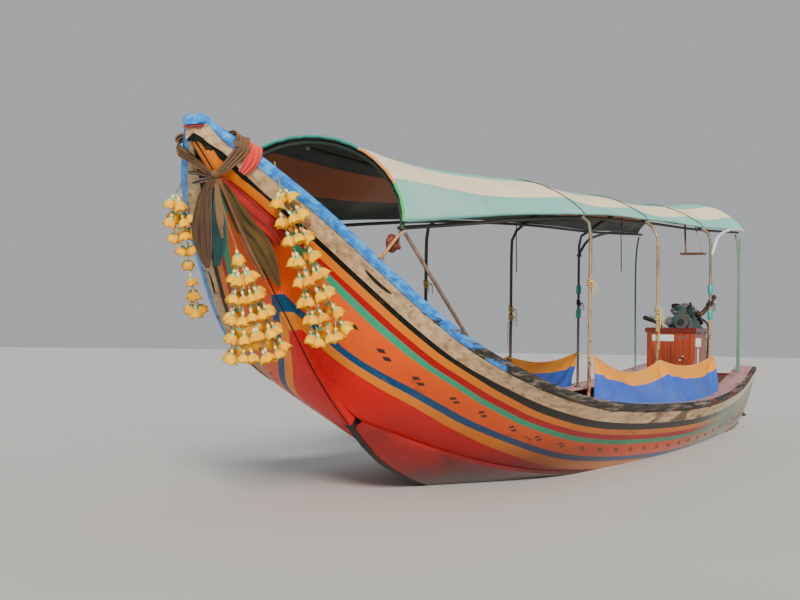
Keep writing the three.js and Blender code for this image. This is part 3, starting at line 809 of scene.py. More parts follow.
def worn_paint(name, paint, under, wear, grime, gloss=0.45, along=(1.0, 9.0, 9.0)):
    """Paint over boards that has chipped along the grain."""
    finish = Finish(name, gloss)
    grain = finish.noise(7.0, 6.0, along, warp=0.4)
    patch = finish.noise(2.2, 5.0, (0.7, 1.0, 1.0))
    speck = finish.noise(38.0, 3.0, along)
    bare = finish.plus(finish.times(patch, 0.62), finish.times(grain, 0.38))
    bare = finish.plus(bare, finish.times(speck, 0.12))
    chipped = finish.mask(bare, 0.78 - 0.3 * wear, 0.8 - 0.29 * wear)
    tone = finish.mix(finish.noise(3.1, 4.0), shade(paint, 0.8), shade(paint, 1.16))
    timber = finish.mix(grain, shade(under, 0.55), shade(under, 1.35))
    coat = finish.mix(chipped, tone, timber)
    dirt = finish.mask(finish.noise(5.0, 6.0, (0.5, 1.0, 1.0), warp=0.8), 0.52, 0.78, 0.0, grime)
    finish.colour(finish.mix(dirt, coat, "#2C231C"))
    finish.rough(finish.mix(chipped, (gloss, gloss, gloss, 1), (0.85, 0.85, 0.85, 1)))
    height = finish.minus(finish.times(grain, 0.5), chipped)
    return finish.bump(height, 0.35, 0.0015).material


def band_paint():
    """The side's painted bands, by the piece's UV map, with handling marks and a wet foot."""
    finish = Finish("hull_bands", 0.5, Specular_IOR_Level=0.22)
    wobble = finish.times(finish.minus(finish.noise(11.0, 3.0), 0.5), 0.05)
    level = finish.maths("DIVIDE", finish.plus(finish.part(finish.uv, 1), wobble), 8.0)
    names = [name for name, _ in BANDS] + ["scarlet"]
    base = finish.ramp(level, [(i / 8, PAINTS[name]) for i, name in enumerate(names)], "CONSTANT")
    cloudy = finish.noise(2.4, 6.0, (0.6, 1.0, 1.0))
    base = finish.over(base, "#A0401C", cloudy, 0.35, 0.7, 0.0, 0.22, way="MULTIPLY")
    brushed = finish.noise(26.0, 3.0, (0.08, 1.0, 1.0))
    base = finish.over(base, "#F4B878", brushed, 0.55, 0.75, 0.0, 0.05)
    aft = finish.part(finish.uv, 0)
    faded = finish.times(finish.mask(aft, 5.4, 7.4), finish.mask(cloudy, 0.3, 0.48))
    pale = finish.mix(finish.noise(3.4, 4.0, (0.5, 1, 1)), "#5F9A96", "#C2B79C")
    base = finish.mix(finish.times(faded, 0.88), base, pale)
    scuffs = finish.mask(finish.noise(9.0, 7.0, (0.35, 1.0, 1.3), warp=0.9), 0.64, 0.7, 0.0, 0.45)
    scuffs = finish.times(scuffs, finish.mask(aft, 0.6, 2.2, 0.25, 1.0))
    base = finish.mix(scuffs, base, "#33211A")
    nails = finish.mask(finish.cells(11.0, (0.9, 1.0, 1.0)), 0.03, 0.045, 0.5, 0.0)
    base = finish.mix(nails, base, "#2A1B12")
    ripple = finish.times(finish.noise(3.0, 2.0), 0.1)
    foot = finish.plus(finish.part(finish.place, 2), ripple)
    wet = finish.times(finish.mask(foot, 0.02, 0.6, 0.92, 0.0), finish.mask(aft, 2.6, 4.5, 1.0, 0.35))
    finish.colour(finish.mix(wet, base, "#300000"))
    finish.rough(finish.mask(foot, 0.05, 0.22, 0.22, 0.42))
    planks = finish.waves(1.45, "Z", finish.stretched((0, 0, 1)), 0.0, "SAW")
    seams = finish.mask(planks, 0.0, 0.02)
    height = finish.plus(finish.times(brushed, 0.5), finish.times(seams, 0.3))
    return finish.bump(height, 0.16, 0.002).material


def bottom_paint():
    """Deep red below the chine, darker where it is wet."""
    finish = Finish("bottom_red", 0.4, Coat_Weight=0.1, Coat_Roughness=0.25)
    cloudy = finish.noise(2.6, 6.0, (0.5, 1.0, 1.0), warp=0.5)
    base = finish.ramp(cloudy, [(0.3, "#3E0707"), (0.5, "#780A0B"), (0.7, "#9C1110")])
    low = finish.plus(finish.part(finish.place, 2), finish.times(cloudy, 0.2))
    wet = finish.mask(low, 0.08, 0.42, 0.7, 0.0)
    base = finish.mix(wet, base, "#230505")
    weed = finish.mask(finish.noise(16.0, 5.0), 0.55, 0.75, 0.0, 0.4)
    weed = finish.times(weed, finish.mask(low, -0.1, 0.16, 1.0, 0.0))
    finish.colour(finish.mix(weed, base, "#2E3A1C"))
    finish.rough(finish.mask(low, 0.05, 0.4, 0.22, 0.5))
    return finish.bump(finish.noise(18.0, 4.0, (0.3, 1, 1)), 0.2, 0.002).material


def strake_paint():
    """Old beige paint with nail stains, long cracks and darker, barer timber further aft."""
    finish = Finish("strake_beige", 0.62)
    grain = finish.noise(10.0, 7.0, (0.35, 3.0, 3.0), warp=0.3)
    tone = finish.ramp(grain, [(0.3, "#8E7152"), (0.5, "#BD9B72"), (0.68, "#D6B88E")])
    aft = finish.part(finish.uv, 0)
    bare = finish.plus(
        finish.noise(4.0, 6.0, (0.35, 1.6, 1.6), warp=0.6), finish.mask(aft, 0.9, 2.6, -0.16, 0.02)
    )
    bare = finish.minus(bare, finish.mask(aft, 6.0, 7.4, 0.0, 0.16))
    tone = finish.over(tone, "#4C3D32", bare, 0.55, 0.6, 0.0, 0.75)
    streaks = finish.noise(12.0, 4.0, (0.7, 0.9, 0.12))
    tone = finish.over(tone, "#5E3D25", streaks, 0.6, 0.78, 0.0, 0.5)
    spots = finish.mask(finish.cells(7.0, (0.85, 1.0, 1.0)), 0.035, 0.085, 0.85, 0.0)
    tone = finish.mix(spots, tone, "#35241A")
    tone = finish.over(tone, "#D8CFBC", aft, 5.8, 7.6, 0.0, 0.6)
    finish.colour(tone)
    cracks = finish.mask(finish.noise(22.0, 5.0, (0.06, 2.0, 2.0)), 0.62, 0.68)
    finish.rough(finish.mask(bare, 0.5, 0.62, 0.55, 0.9))
    height = finish.minus(finish.times(grain, 0.6), cracks)
    return finish.bump(height, 0.5, 0.002).material


def rail_paint():
    """Blue on the prow's rail, worn through to black and grey timber further aft."""
    finish = Finish("rail_blue", 0.5)
    grain = finish.noise(12.0, 6.0, (0.25, 3.0, 3.0), warp=0.3)
    blue = finish.ramp(grain, [(0.3, "#0E5FB4"), (0.5, "#1F86DC"), (0.7, "#58AEEE")])
    timber = finish.ramp(grain, [(0.34, "#16130F"), (0.52, "#3B342D"), (0.7, "#8D8474")])
    aft = finish.part(finish.uv, 0)
    patch = finish.noise(5.0, 6.0, (0.4, 1.6, 1.6), warp=0.5)
    bare = finish.plus(patch, finish.mask(aft, 0.75, 2.1, -0.18, 0.24))
    worn = finish.mask(bare, 0.53, 0.58)
    tone = finish.mix(worn, blue, timber)
    far = finish.mask(aft, 3.0, 4.2)
    reds = finish.mask(finish.noise(6.5, 5.0, (0.4, 1, 1)), 0.56, 0.62, 0.0, 0.6)
    finish.colour(finish.mix(finish.times(far, reds), tone, "#7E2B2A"))
    finish.rough(finish.mask(bare, 0.5, 0.6, 0.42, 0.85))
    return finish.bump(finish.minus(grain, worn), 0.4, 0.0015).material


def timber(name, dark, light, along=(0.5, 6.0, 6.0), gloss=0.7, varnish=0.0):
    """Boards with their grain along one axis."""
    finish = Finish(name, gloss, Coat_Weight=varnish, Coat_Roughness=0.18)
    grain = finish.noise(9.0, 8.0, along, warp=1.1)
    broad = finish.noise(1.6, 3.0)
    tone = finish.ramp(grain, [(0.28, dark), (0.72, light)])
    tone = finish.over(tone, shade(dark, 0.8), broad, 0.35, 0.7, 0.0, 0.5)
    dirt = finish.mask(finish.noise(14.0, 5.0), 0.58, 0.8, 0.0, 0.4)
    finish.colour(finish.mix(dirt, tone, "#1D1510"))
    return finish.bump(grain, 0.35, 0.002).material


def striped_cloth(name, stripes, weave, dirt, fade=0.22, sheen=0.15):
    """Woven cloth whose stripes run across the UV map's second coordinate."""
    finish = Finish(name, 0.85, Sheen_Weight=sheen, Sheen_Roughness=0.5)
    tone = finish.ramp(finish.part(finish.uv, 1), stripes, "CONSTANT")
    pale = finish.noise(2.3, 5.0, (0.5, 1, 1))
    tone = finish.over(tone, "#E4DCC6", pale, 0.4, 0.72, 0.0, fade)
    stain = finish.mask(finish.noise(4.6, 6.0, (0.4, 1, 1), warp=0.7), 0.52, 0.74, 0.0, dirt)
    finish.colour(finish.mix(stain, tone, "#6B6250"))
    warp_way = finish.waves(210.0, "X", finish.uv)
    weft_way = finish.waves(210.0, "Y", finish.uv)
    slubs = finish.noise(120.0, 2.0, (0.2, 1.0, 1.0), finish.uv)
    height = finish.plus(finish.times(warp_way, weft_way), slubs)
    return finish.bump(height, weave, 0.0006).material


def gauze(name, dark, light, roughness=0.9):
    """Thin crumpled cloth of one colour, with painted highlight on the crests of its folds and painted shade
    in their hollows.
    """
    finish = Finish(name, roughness, Sheen_Weight=0.3, Sheen_Roughness=0.4)
    folds = finish.noise(16.0, 5.0, (0.35, 6.0, 1.0), finish.uv, warp=0.6)
    blotch = finish.noise(9.0, 5.0)
    # Painted highlight and shade: the tone follows the same folds as the bump, with random blotches
    tone = finish.ramp(finish.mix(0.35, folds, blotch), [(0.3, dark), (0.68, light)])
    finish.colour(tone)
    threads = finish.times(finish.waves(260.0, "X", finish.uv), finish.waves(260.0, "Y", finish.uv))
    return finish.bump(finish.plus(threads, finish.times(folds, 3.0)), 0.4, 0.0012).material


def petals(name, deep, mid, pale, scale=55.0):
    """Flower heads: each differs a little in tone."""
    finish = Finish(name, 0.75, Specular_IOR_Level=0.15)
    broad = finish.noise(13.0, 2.0)
    fine = finish.noise(scale, 4.0)
    tone = finish.ramp(finish.mix(0.45, broad, fine), [(0.3, deep), (0.48, mid), (0.66, pale)])
    finish.colour(tone)
    return finish.bump(fine, 0.5, 0.002).material


def tube_paint():
    """Cream and green paint on steel tube, with rust in the chips and down low, and painted shade darkening
    its starboard half.
    """
    finish = Finish("canopy_tube", 0.5)
    patch = finish.noise(9.0, 5.0, (1, 1, 0.35))
    height = finish.part(finish.place, 2)
    level = finish.plus(patch, finish.mask(height, 1.25, 1.75, 0.06, -0.07))
    tone = finish.ramp(level, [(0.38, "#525E4A"), (0.48, "#7A6240"), (0.6, "#9C8258")])
    # Painted shade: the tubes darken to blue-grey towards starboard
    hand = finish.mask(finish.part(finish.place, 1), -0.4, 0.1, 0.85, 0.0)
    tone = finish.mix(hand, tone, "#262F38")
    chips = finish.noise(34.0, 6.0, (1, 1, 0.5))
    rust = finish.mask(finish.plus(chips, finish.mask(height, 0.5, 0.95, 0.09, 0.0)), 0.58, 0.64)
    tone = finish.mix(rust, tone, "#6E3A1E")
    finish.colour(tone)
    finish.rough(finish.mask(chips, 0.55, 0.65, 0.42, 0.85))
    return finish.bump(finish.minus(patch, rust), 0.4, 0.001).material


def worn_metal(name, dark, light, metallic, roughness, rust):
    """Oily iron or painted castings with rust in patches."""
    finish = Finish(name, roughness, metallic)
    cast = finish.noise(60.0, 5.0)
    patch = finish.noise(6.5, 6.0, warp=0.6)
    tone = finish.ramp(patch, [(0.34, dark), (0.66, light)])
    rusty = finish.mask(finish.plus(patch, finish.times(cast, 0.35)), 0.66, 0.78, 0.0, rust)
    finish.colour(finish.mix(rusty, tone, "#5B2F18"))
    finish.rough(finish.mask(patch, 0.4, 0.65, roughness - 0.12, roughness + 0.22))
    return finish.bump(cast, 0.25, 0.0008).material


def plain(name, dark, light, roughness, metallic=0.0):
    """A nearly even finish, such as plastic, rubber or bare bright metal."""
    finish = Finish(name, roughness, metallic)
    finish.colour(finish.mix(finish.noise(20.0, 5.0), dark, light))
    fine = finish.noise(180.0, 3.0)
    finish.rough(finish.mask(fine, 0.2, 0.8, roughness - 0.08, roughness + 0.1))
    return finish.bump(fine, 0.2, 0.001).material


def rope_finish(name, dark, light):
    """Twisted strands round a cord, by its UV map or its place."""
    finish = Finish(name, 0.9)
    strands = finish.waves(70.0, "DIAGONAL", finish.place, 1.5)
    finish.colour(finish.mix(strands, dark, light))
    return finish.bump(strands, 0.6, 0.002).material


def two_coloured(edge, between):
    """The cover's stripes, by turns of the one colour and the other."""
    return [(place, (edge, between)[i % 2]) for i, place in enumerate((0.0,) + STRIPES_AT)]


def mix_finishes():
    """Makes every finish once, before the pieces that wear them."""
    FINISH.update({
        "bands": band_paint(),
        "bottom": bottom_paint(),
        "strake": strake_paint(),
        "rail": rail_paint(),
        "keel": worn_paint("keel_black", "#1E1815", "#3A2A20", 0.4, 0.5, 0.6),
        "deck": worn_paint("deck_pink", "#BE8E90", "#7A5F56", 0.55, 0.35, 0.6),
        "transom": worn_paint("transom_red", "#74242A", "#4A352B", 0.55, 0.5, 0.55, (9.0, 1.0, 9.0)),
        "frames": timber("frame_timber", "#2E1C12", "#6A452C", (6.0, 0.5, 6.0)),
        "lining": timber("lining_timber", "#33221A", "#6F4E38"),
        "floor_boards": timber("floor_timber", "#3C2A1D", "#856243"),
        "bench": timber("bench_timber", "#3A2012", "#8A5430", (6.0, 0.5, 6.0), 0.45, 0.2),
        "cover": striped_cloth("cover_cloth", two_coloured("#76C6B8", "#FFE8BC"), 0.3, 0.16),
        # Underside of the cover: the same stripes darkened as painted shade, the cream ones orange-brown as
        # painted glow of light through the cloth
        "underside_shade_and_glow": striped_cloth("cover_underside", two_coloured("#263A36", "#B4602E"), 0.3, 0.25),
        "bind_teal": gauze("binding_teal", "#0E6F66", "#2AA08F", 0.75),
        "bind_orange": gauze("binding_orange", "#D07C2C", "#F2A656", 0.75),
        "bind_green": gauze("binding_green", "#1FA044", "#44D468", 0.75),
        "curtain": striped_cloth(
            "curtain_cloth", [(0.0, "#EC9400"), (ORANGE_DROP, "#2A58BC")], 0.35, 0.12, fade=0.06, sheen=0.02
        ),
        "curtain_blue": gauze("curtain_hem_blue", "#3F5CA4", "#6F8CD0", 0.8),
        "taupe": gauze("gauze_taupe", "#22140A", "#5E4226"),
        "sash_gauze": gauze("gauze_sash", "#362212", "#8A6640"),
        "brown_gauze": gauze("gauze_brown", "#4E2E18", "#96683E"),
        "teal_gauze": gauze("gauze_teal", "#04181C", "#0F4A4C"),
        "khaki": gauze("gauze_khaki", "#2E2204", "#6A5210"),
        "red_cloth": gauze("cloth_red", "#7E0603", "#C0140A", 0.8),
        "coral": gauze("cloth_coral", "#C4180E", "#F24E3C", 0.85),
        "marigold": petals("marigold_petals", "#D87A00", "#F2AC00", "#FFCC00"),
        "bud": petals("bud_cream", "#D9A85A", "#F0D490", "#F8E8C0", 120.0),
        "leaf": petals("leaf_cups", "#3C8A5C", "#6CC08C", "#A6E0B8", 90.0),
        "tube": tube_paint(),
        # Near black for the front hoop: painted shade under the edge of the cover
        "hoop_dark": plain("hoop_dark", "#1E2A22", "#33443A", 0.6),
        "rail_dark": plain("rail_dark", "#25251F", "#45423A", 0.6),
        "strut": timber("strut_timber", "#4A3830", "#94745F", (6.0, 6.0, 0.5)),
        "stick": timber("stick_tan", "#8E6238", "#D2A26E", (6.0, 6.0, 0.5)),
        "brace": plain("brace_pale", "#C4C8CC", "#F0F2F4", 0.4),
        # The starboard brace's finish: painted shade over the same tube as the pale port brace
        "brace_dark": plain("brace_dark", "#141A26", "#2C3646", 0.4),
        "thin_post": plain("post_green", "#3C5A48", "#6F8B74", 0.5),
        "rope_tan": rope_finish("rope_tan", "#6E5236", "#B99A6E"),
        "rope_yellow": rope_finish("rope_yellow", "#C09A34", "#E8CC72"),
        "rope_dark": rope_finish("rope_dark_green", "#1C2A24", "#3F5A4C"),
        "rope_maroon": rope_finish("rope_maroon", "#4A1A12", "#8E4434"),
        "tie_black": plain("tie_black", "#0C0C0C", "#1E1E1E", 0.7),
        "bottle_teal": plain("wrap_teal", "#0B7F78", "#1FA89A", 0.35),
        "varnish": timber("box_varnish", "#641E0A", "#B0461C", (5.0, 5.0, 0.4), 0.34, 0.3),
        "lid": timber("lid_varnish", "#3E120A", "#7E2A18", (6.0, 0.5, 6.0), 0.3, 0.4),
        "label": plain("blank_label", "#B9C4C0", "#D8DEDA", 0.4),
        "white": plain("white_plastic", "#D4D2C8", "#EAE8DF", 0.35),
        "iron": worn_metal("drive_iron", "#1F1D1B", "#4B4641", 0.6, 0.5, 0.6),
        "engine": worn_metal("engine_green", "#1D3A3C", "#33605F", 0.25, 0.42, 0.5),
        "head": worn_metal("engine_alloy", "#6F7274", "#A9ABAB", 0.85, 0.4, 0.25),
        "bright": plain("bright_shaft", "#8F9092", "#C9CACB", 0.25, 1.0),
        "bronze": worn_metal("propeller_bronze", "#7A5A2A", "#C49A55", 0.95, 0.32, 0.2),
        "rubber": plain("black_rubber", "#101010", "#242322", 0.8),
        # Near black painted shade for the inside of the lashing slot
        "hole": plain("dark_recess", "#120C08", "#1E130C", 0.9),
        "diamond": worn_paint("ornament_brown", "#2C1A10", "#8A4A22", 0.25, 0.2),
        "nail": worn_metal("nail_iron", "#2A1C14", "#4A3021", 0.4, 0.7, 0.8),
    })


# Hull


def band_edges(aft):
    """How far below the sheer each painted band starts, and where the last one ends."""
    place = next(i for i in range(len(BANDS_AFT) - 1) if aft <= BANDS_AFT[i + 1] + 1e-9)
    share = ease(aft, BANDS_AFT[place], BANDS_AFT[place + 1])
    ends = [ends[place] + (ends[place + 1] - ends[place]) * share for _, ends in BANDS]
    return [strake_foot(aft) + SEAM] + ends


def band_level(aft, below):
    """A place in the bands: the band's number, and the share of it that lies above."""
    edges = band_edges(aft)
    for band, (low, high) in enumerate(zip(edges, edges[1:])):
        if below < high:
            return band + clamp((below - low) / (high - low), 0.0, 0.999)
    return len(BANDS) + clamp((below - edges[-1]) / max(side_height(aft) - edges[-1], 0.01), 0.0, 0.999)


def band_rows(aft):
    """How far below the sheer each row of the painted side is, with its place in the bands."""
    foot = side_height(aft)
    edges = band_edges(aft) + [foot]
    rows = []
    for low, high in zip(edges, edges[1:]):
        rows += [low + (high - low) * step for step in (0.0, 0.25, 0.5, 0.75)]
        rows.append(high - 0.0002)
    rows.append(foot)
    last = len(rows) - 1
    rows = [min(below, foot - (last - i) * 1e-5) for i, below in enumerate(rows)]
    return [(below, band_level(aft, min(below, foot - 0.0005))) for below in rows]


def hull_piece(name, hand, rows_for, places, outward, thick, finish, slot, replaces):
    """A strip of planking: its outer face from the top row down, and back up its inner face."""
    loops, uvs = [], []
    for aft in places:
        rows = rows_for(aft)
        pairs = [skin_pair(aft, below, outward, thick) for below, _ in rows]
        outer, inner = (section(aft, hand, face) for face in zip(*pairs))
        marks = [(aft, level) for _, level in rows]
        loops.append(outer + inner[::-1])
        uvs.append(marks + marks[::-1])
    shape = line_inside(Shape().loft(loops, uvs), len(loops[0]))
    return shape.piece(name, [finish, "lining"], slot=slot, replaces=replaces)


def line_inside(shape, around):
    """Gives the inner face of lofted planking, the second half of each loop, the second finish."""
    for i in range(len(shape.slots) - 2):
        if around // 2 <= i % around < around - 1:
            shape.slots[i] = 1
    return shape


def strake_rows(aft):
    """The strake's rows, with the share of its height that each is at."""
    top, foot = strake_top(aft), strake_foot(aft)
    return [(top + (foot - top) * i / 6, i / 6) for i in range(7)]


DIAMONDS_AFT = (0.96, 1.155, 1.39, 1.69, 1.97, 2.31)
DIAMONDS_TO = 7.6
DIAMOND_PITCH = 0.33
DIAMONDS_BELOW = 0.383
DIAMOND = ((-0.026, 0.006), (0.0, -0.017), (0.026, -0.006), (0.0, 0.017))
LASHING_SLOT = (0.845, 0.088)


def diamond_spots():
    """Pairs of painted diamonds along the orange band, as places aft."""
    pairs = list(DIAMONDS_AFT)
    while pairs[-1] < DIAMONDS_TO:
        pairs.append(pairs[-1] + DIAMOND_PITCH)
    return pairs


def decal(shape, hand, aft, below, outline, lift=0.0009, outward=0.0):
    """A thin plate that follows the hull's side; the outline is offsets aft and down."""
    top, base = [], []
    for along, down in outline:
        top.append(skin_point(aft + along, hand, below + down, outward + lift))
        base.append(skin_point(aft + along, hand, below + down, outward - 0.004))
    count = len(outline)
    faces = [tuple(range(count)), tuple(range(2 * count - 1, count - 1, -1))]
    faces += [(i, (i + 1) % count, count + (i + 1) % count, count + i) for i in range(count)]
    shape.add(top + base, faces, [(0, 0)] * (2 * count))


def small_mesh(name, *parts, even=False):
    """A small shape for copying: turned parts, each a profile and how many sides it has."""
    shape = Shape()
    for profile, sides in parts:
        shape.turned(profile, (0, 0, 0), (0, 0, 1), sides)
    mesh = mesh_of(name, shape.points, shape.faces)
    if even:
        mesh.shade_smooth()
    return mesh


def nail_mesh():
    """A domed nail head."""
    return small_mesh("nail", ([(0.0045, -0.001), (0.0045, 0.0006), (0.003, 0.0014), (0.0, 0.0017)], 8))


def bolt_mesh(radius, high):
    """A hexagonal bolt head on a washer."""
    washer = [(radius * 1.5, -0.001), (radius * 1.5, 0.0015), (radius, 0.0015), (0.0, 0.0015)]
    head = [(radius, 0.001), (radius, high - 0.001), (radius * 0.85, high), (0.0, high)]
    return small_mesh("bolt", (washer, 14), (head, 6))


def build_sides():
    """The painted sides, strakes, rails and bottom, with the stem's facing and what is painted on them."""
    fine = stops(0.0005, 1.3, 0.015) + stops(1.3, HULL_LENGTH, 0.09, 2.4, 0.045)[1:]
    for side, hand in SIDES:
        for name, rows, outward, finish, slot, stands_for in (
            ("painted_side_", band_rows, 0.0, "bands", "topside_paint", "topside_"),
            ("sheer_strake_board_", strake_rows, STRAKE_OUT, "strake", "strake_paint", "sheer_strake_"),
        ):
            thick = PLANK + outward
            hull_piece(name + side, hand, rows, fine, outward, thick, finish, slot, [stands_for + side])
        build_rail(side, hand)
        build_bottom(side, hand)
        build_transom_foot(side, hand)
        build_stem_facing(side, hand)
        diamonds = Shape()
        for i, aft in enumerate(diamond_spots()):
            for shift in (0.0,) if i == 0 else (-0.026, 0.026):
                skew = 0.008 if shift > 0 else -0.008
                decal(diamonds, hand, aft + shift, DIAMONDS_BELOW + skew, DIAMOND)
        diamonds.piece("side_diamonds_" + side, "diamond", slot="topside_paint")
        # The lashing slot: a thin near black plate on the strake, painted shade where the recess is
        slot_outline = [
            (0.078 * math.cos(a), 0.01 * math.sin(a) - 0.01 * math.cos(2 * a) * 0.4) for a in turns(20)
        ]
        mark = Shape()
        decal(mark, hand, *LASHING_SLOT, slot_outline, 0.0011, STRAKE_OUT)
        mark.piece("lashing_slot_" + side, "hole", slot="strake_paint")
        build_strake_nails(side, hand)


def build_stem_facing(side, hand):
    """The bands carried round the stem, up to the dark seam in its middle."""
    loops, uvs = [], []
    for aft in stops(-0.001, 1.45, 0.0125):
        edge_z = chine(aft)[1]
        face_z = keel_z(aft) - 0.012
        profile = [
            (0.0435, edge_z - 0.0005), (0.033, (edge_z + face_z) / 2 - 0.0008), (0.024, face_z - 0.0016),
            (0.006, face_z - 0.0026), (0.006, face_z - 0.0006), (0.0226, face_z - 0.0004),
            (0.04, edge_z + 0.001)
        ]
        slope = max((chine(aft - 0.01)[1] - chine(aft + 0.01)[1]) / 0.02, 0.2)
        marks = []
        for _, z in profile:
            there = aft + (edge_z - z) / slope
            marks.append((there, band_level(there, side_height(there) - 0.0005)))
        loops.append(section(aft, hand, profile))
        uvs.append(marks)
    Shape().loft(loops, uvs).piece("stem_facing_" + side, "bands", slot="topside_paint")
    base, nose = PROW_X + 0.0015, PROW_X + 0.016
    for name, finish, slot, inner, outer, half in (
        ("stem_head_", "strake", "strake_paint", (1.853, 1.8785), (1.826, 1.8785), 0.052),
        ("stem_nose_", "bands", "topside_paint", (1.8165, 1.852), (1.8165, 1.8295), 0.043),
    ):
        loops = []
        for y, x, (low, high) in ((0.0012, nose, inner), (half, base + 0.004, outer)):
            corners = ((base, low), (x, low), (x, high), (base, high))
            loops.append([Vector((a, hand * y, z)) for a, z in corners])
        board = Shape().loft(loops, [[(0.0, 0.5)] * 4] * 2)
        board.piece(name + side, finish, slot=slot)


def build_rail(side, hand):
    """The cap rail, with eased edges."""
    loops, uvs = [], []
    for aft in stops(0.006, HULL_LENGTH, 0.09, 2.4, 0.06):
        foot = strake_top(aft) - SEAM
        ease_by = min(0.006, foot * 0.25)
        profile = [
            (0.0, RAIL_OUT - ease_by), (ease_by * 0.3, RAIL_OUT - ease_by * 0.3), (ease_by, RAIL_OUT),
            (foot * 0.5, RAIL_OUT + 0.0005), (foot - ease_by, RAIL_OUT), (foot, RAIL_OUT - ease_by)
        ]
        ny, nz = side_normal(aft)
        profile += [(below, -PLANK) for below in (foot, foot * 0.5, 0.0)]
        pairs = []
        for below, out in profile:
            y, z = side_point(aft, below)
            least = STEM_ROOT + (PLANK * 0.7 if out > 0 else 0.0)
            pairs.append((max(y + out * ny, least), z + out * nz))
        loops.append(section(aft, hand, pairs))
        uvs.append([(aft, below) for below, _ in profile])
    shape = Shape().loft(loops, uvs)
    shape.piece("cap_rail_board_" + side, "rail", slot="rail_paint", replaces=["cap_rail_" + side])


def build_bottom(side, hand):
    """The bottom planking, from the stem to the transom."""
    loops, uvs = [], []
    for aft in stops(1.5, HULL_LENGTH, 0.1, 2.8, 0.06):
        shares = [i / 6 for i in range(7)]
        sections = [bottom_section(aft, share) for share in shares]
        outside = section(aft, hand, [(y, outer) for y, outer, _ in sections])
        inside = section(aft, hand, [(y, inner) for y, _, inner in sections])
        loops.append(outside + inside[::-1])
        uvs.append([(aft, share) for share in shares + shares[::-1]])
    shape = line_inside(Shape().loft(loops, uvs), len(loops[0]))
    finishes = ["bottom", "lining"]
    shape.piece("bottom_" + side, finishes, slot="bottom_paint", replaces=["bottom_planking_" + side])


# The transom's foot: where it stands, and the line of its lower edge
TRANSOM_AFT = 8.88
TRANSOM_FOOT = (8.8675, 8.8945)
TRANSOM_RISE = 0.086
TRANSOM_MIDDLE = 0.03
TRANSOM_INSET = 0.0265
TRANSOM_LAP = 0.003


def build_transom_foot(side, hand):
    """The board that fills the gap between the transom's lower edge and the bottom planking."""
    cy, cz = chine(TRANSOM_AFT)
    middle_z = keel_z(TRANSOM_AFT) + TRANSOM_RISE
    slope = (cz + PLANK - middle_z) / (cy - TRANSOM_INSET - TRANSOM_MIDDLE)
    reach = (cy - TRANSOM_INSET - STEM_ROOT) / (cy - STEM_ROOT)
    foot, top = [], []
    for i in range(11):
        y, _, inner = bottom_section(TRANSOM_AFT, reach * i / 10)
        foot.append((y, inner - TRANSOM_LAP))
        top.append((y, middle_z + slope * (y - TRANSOM_MIDDLE) + TRANSOM_LAP))
    outline = foot + top[::-1]
    loops = [section(aft, hand, outline) for aft in TRANSOM_FOOT]
    Shape().loft(loops).piece("transom_foot_" + side, "transom", slot="deck_paint")


NAIL_ROWS = (0.062, 0.118)
NAIL_PITCH = 0.24
NAILS_TO = HULL_LENGTH - 0.1


def build_strake_nails(side, hand):
    """Rows of nail heads along the strake and the seam below it."""
    rng = random.Random(11 + hand)
    spots = []
    for row, below in enumerate(NAIL_ROWS):
        aft = 0.32 + 0.09 * row
        while aft < NAILS_TO:
            y, z = side_point(aft, below + rng.uniform(-0.004, 0.004), STRAKE_OUT + 0.0004)
            ny, nz = side_normal(aft)
            spots.append(((x_at(aft), hand * y, z), (0.0, hand * ny, nz)))
            aft += NAIL_PITCH + rng.uniform(-0.03, 0.03)
    scatter("strake_nails_" + side, spots, nail_mesh(), "nail", (0.8, 1.15), seed=3)


def build_decks():
    """Side decks in two boards with a rounded inner edge, and their nails."""
    for side, hand in SIDES:
        loops, uvs = [], []
        for aft in stops(DECK_FROM, HULL_LENGTH, 0.1):
            outer, inner = deck_outer(aft), deck_inner(aft)
            top = deck_top(aft)
            middle = (outer + inner) / 2
            profile = [
                (outer, top - DECK_T), (outer, top - 0.003), (outer - 0.003, top), (middle + 0.003, top),
                (middle + 0.001, top - 0.004), (middle - 0.001, top - 0.004), (middle - 0.003, top),
                (inner + 0.008, top), (inner + 0.002, top - 0.004), (inner, top - 0.011),
                (inner + 0.002, top - DECK_T + 0.003), (inner + 0.008, top - DECK_T)
            ]
            loops.append(section(aft, hand, profile))
            uvs.append([(aft, y) for y, _ in profile])
        shape = Shape().loft(loops, uvs)
        shape.piece("deck_boards_" + side, "deck", slot="deck_paint", replaces=["side_deck_" + side])
        rng = random.Random(5)
        spots = []
        for k in range(15):
            aft = 2.2 + 0.45 * k
            for share in (0.14, 0.42, 0.6, 0.88):
                y = deck_inner(aft) + (deck_outer(aft) - deck_inner(aft)) * share
                spots.append(((x_at(aft + rng.uniform(-0.01, 0.01)), hand * y, deck_top(aft)), (0, 0, 1)))
        scatter("deck_nails_" + side, spots, nail_mesh(), "nail", (0.9, 1.1))


def build_prow_cap():
    """The capping block that closes the rails at the prow, with a red lip under it."""
    sections = []
    for i in range(9):
        t = i / 8
        x = PROW_X + 0.001 + 0.041 * t
        half = 0.06 - 0.016 * t * t
        top = 1.944 - 0.022 * t * t
        low = 1.886 + 0.003 * t
        ring = []
        for a in turns(16):
            c, s = math.cos(a), math.sin(a)
            y = half * math.copysign(abs(c) ** 0.55, c)
            z = (top + low) / 2 + (top - low) / 2 * math.copysign(abs(s) ** 0.55, s)
            ring.append(Vector((x, y, z)))
        sections.append(ring)
    uvs = [[(0.0, 0.0)] * 16 for _ in sections]
    shape = Shape().loft(sections, uvs)
    shape.piece("prow_capping", "rail", slot="rail_paint", replaces=["prow_cap"])
    lip = Shape().block((PROW_X + 0.002, -0.05, 1.8795), (PROW_X + 0.034, 0.05, 1.8855), 0.0015)
    lip.piece("prow_cap_lip", "red_cloth", slot="rail_paint")


BOARD_COUNT = 7
BOARD_PITCH = 0.118
BOARD_HALF = 0.056
BENCH_COUNT = 6
BENCH_NAIL_Y = 0.27


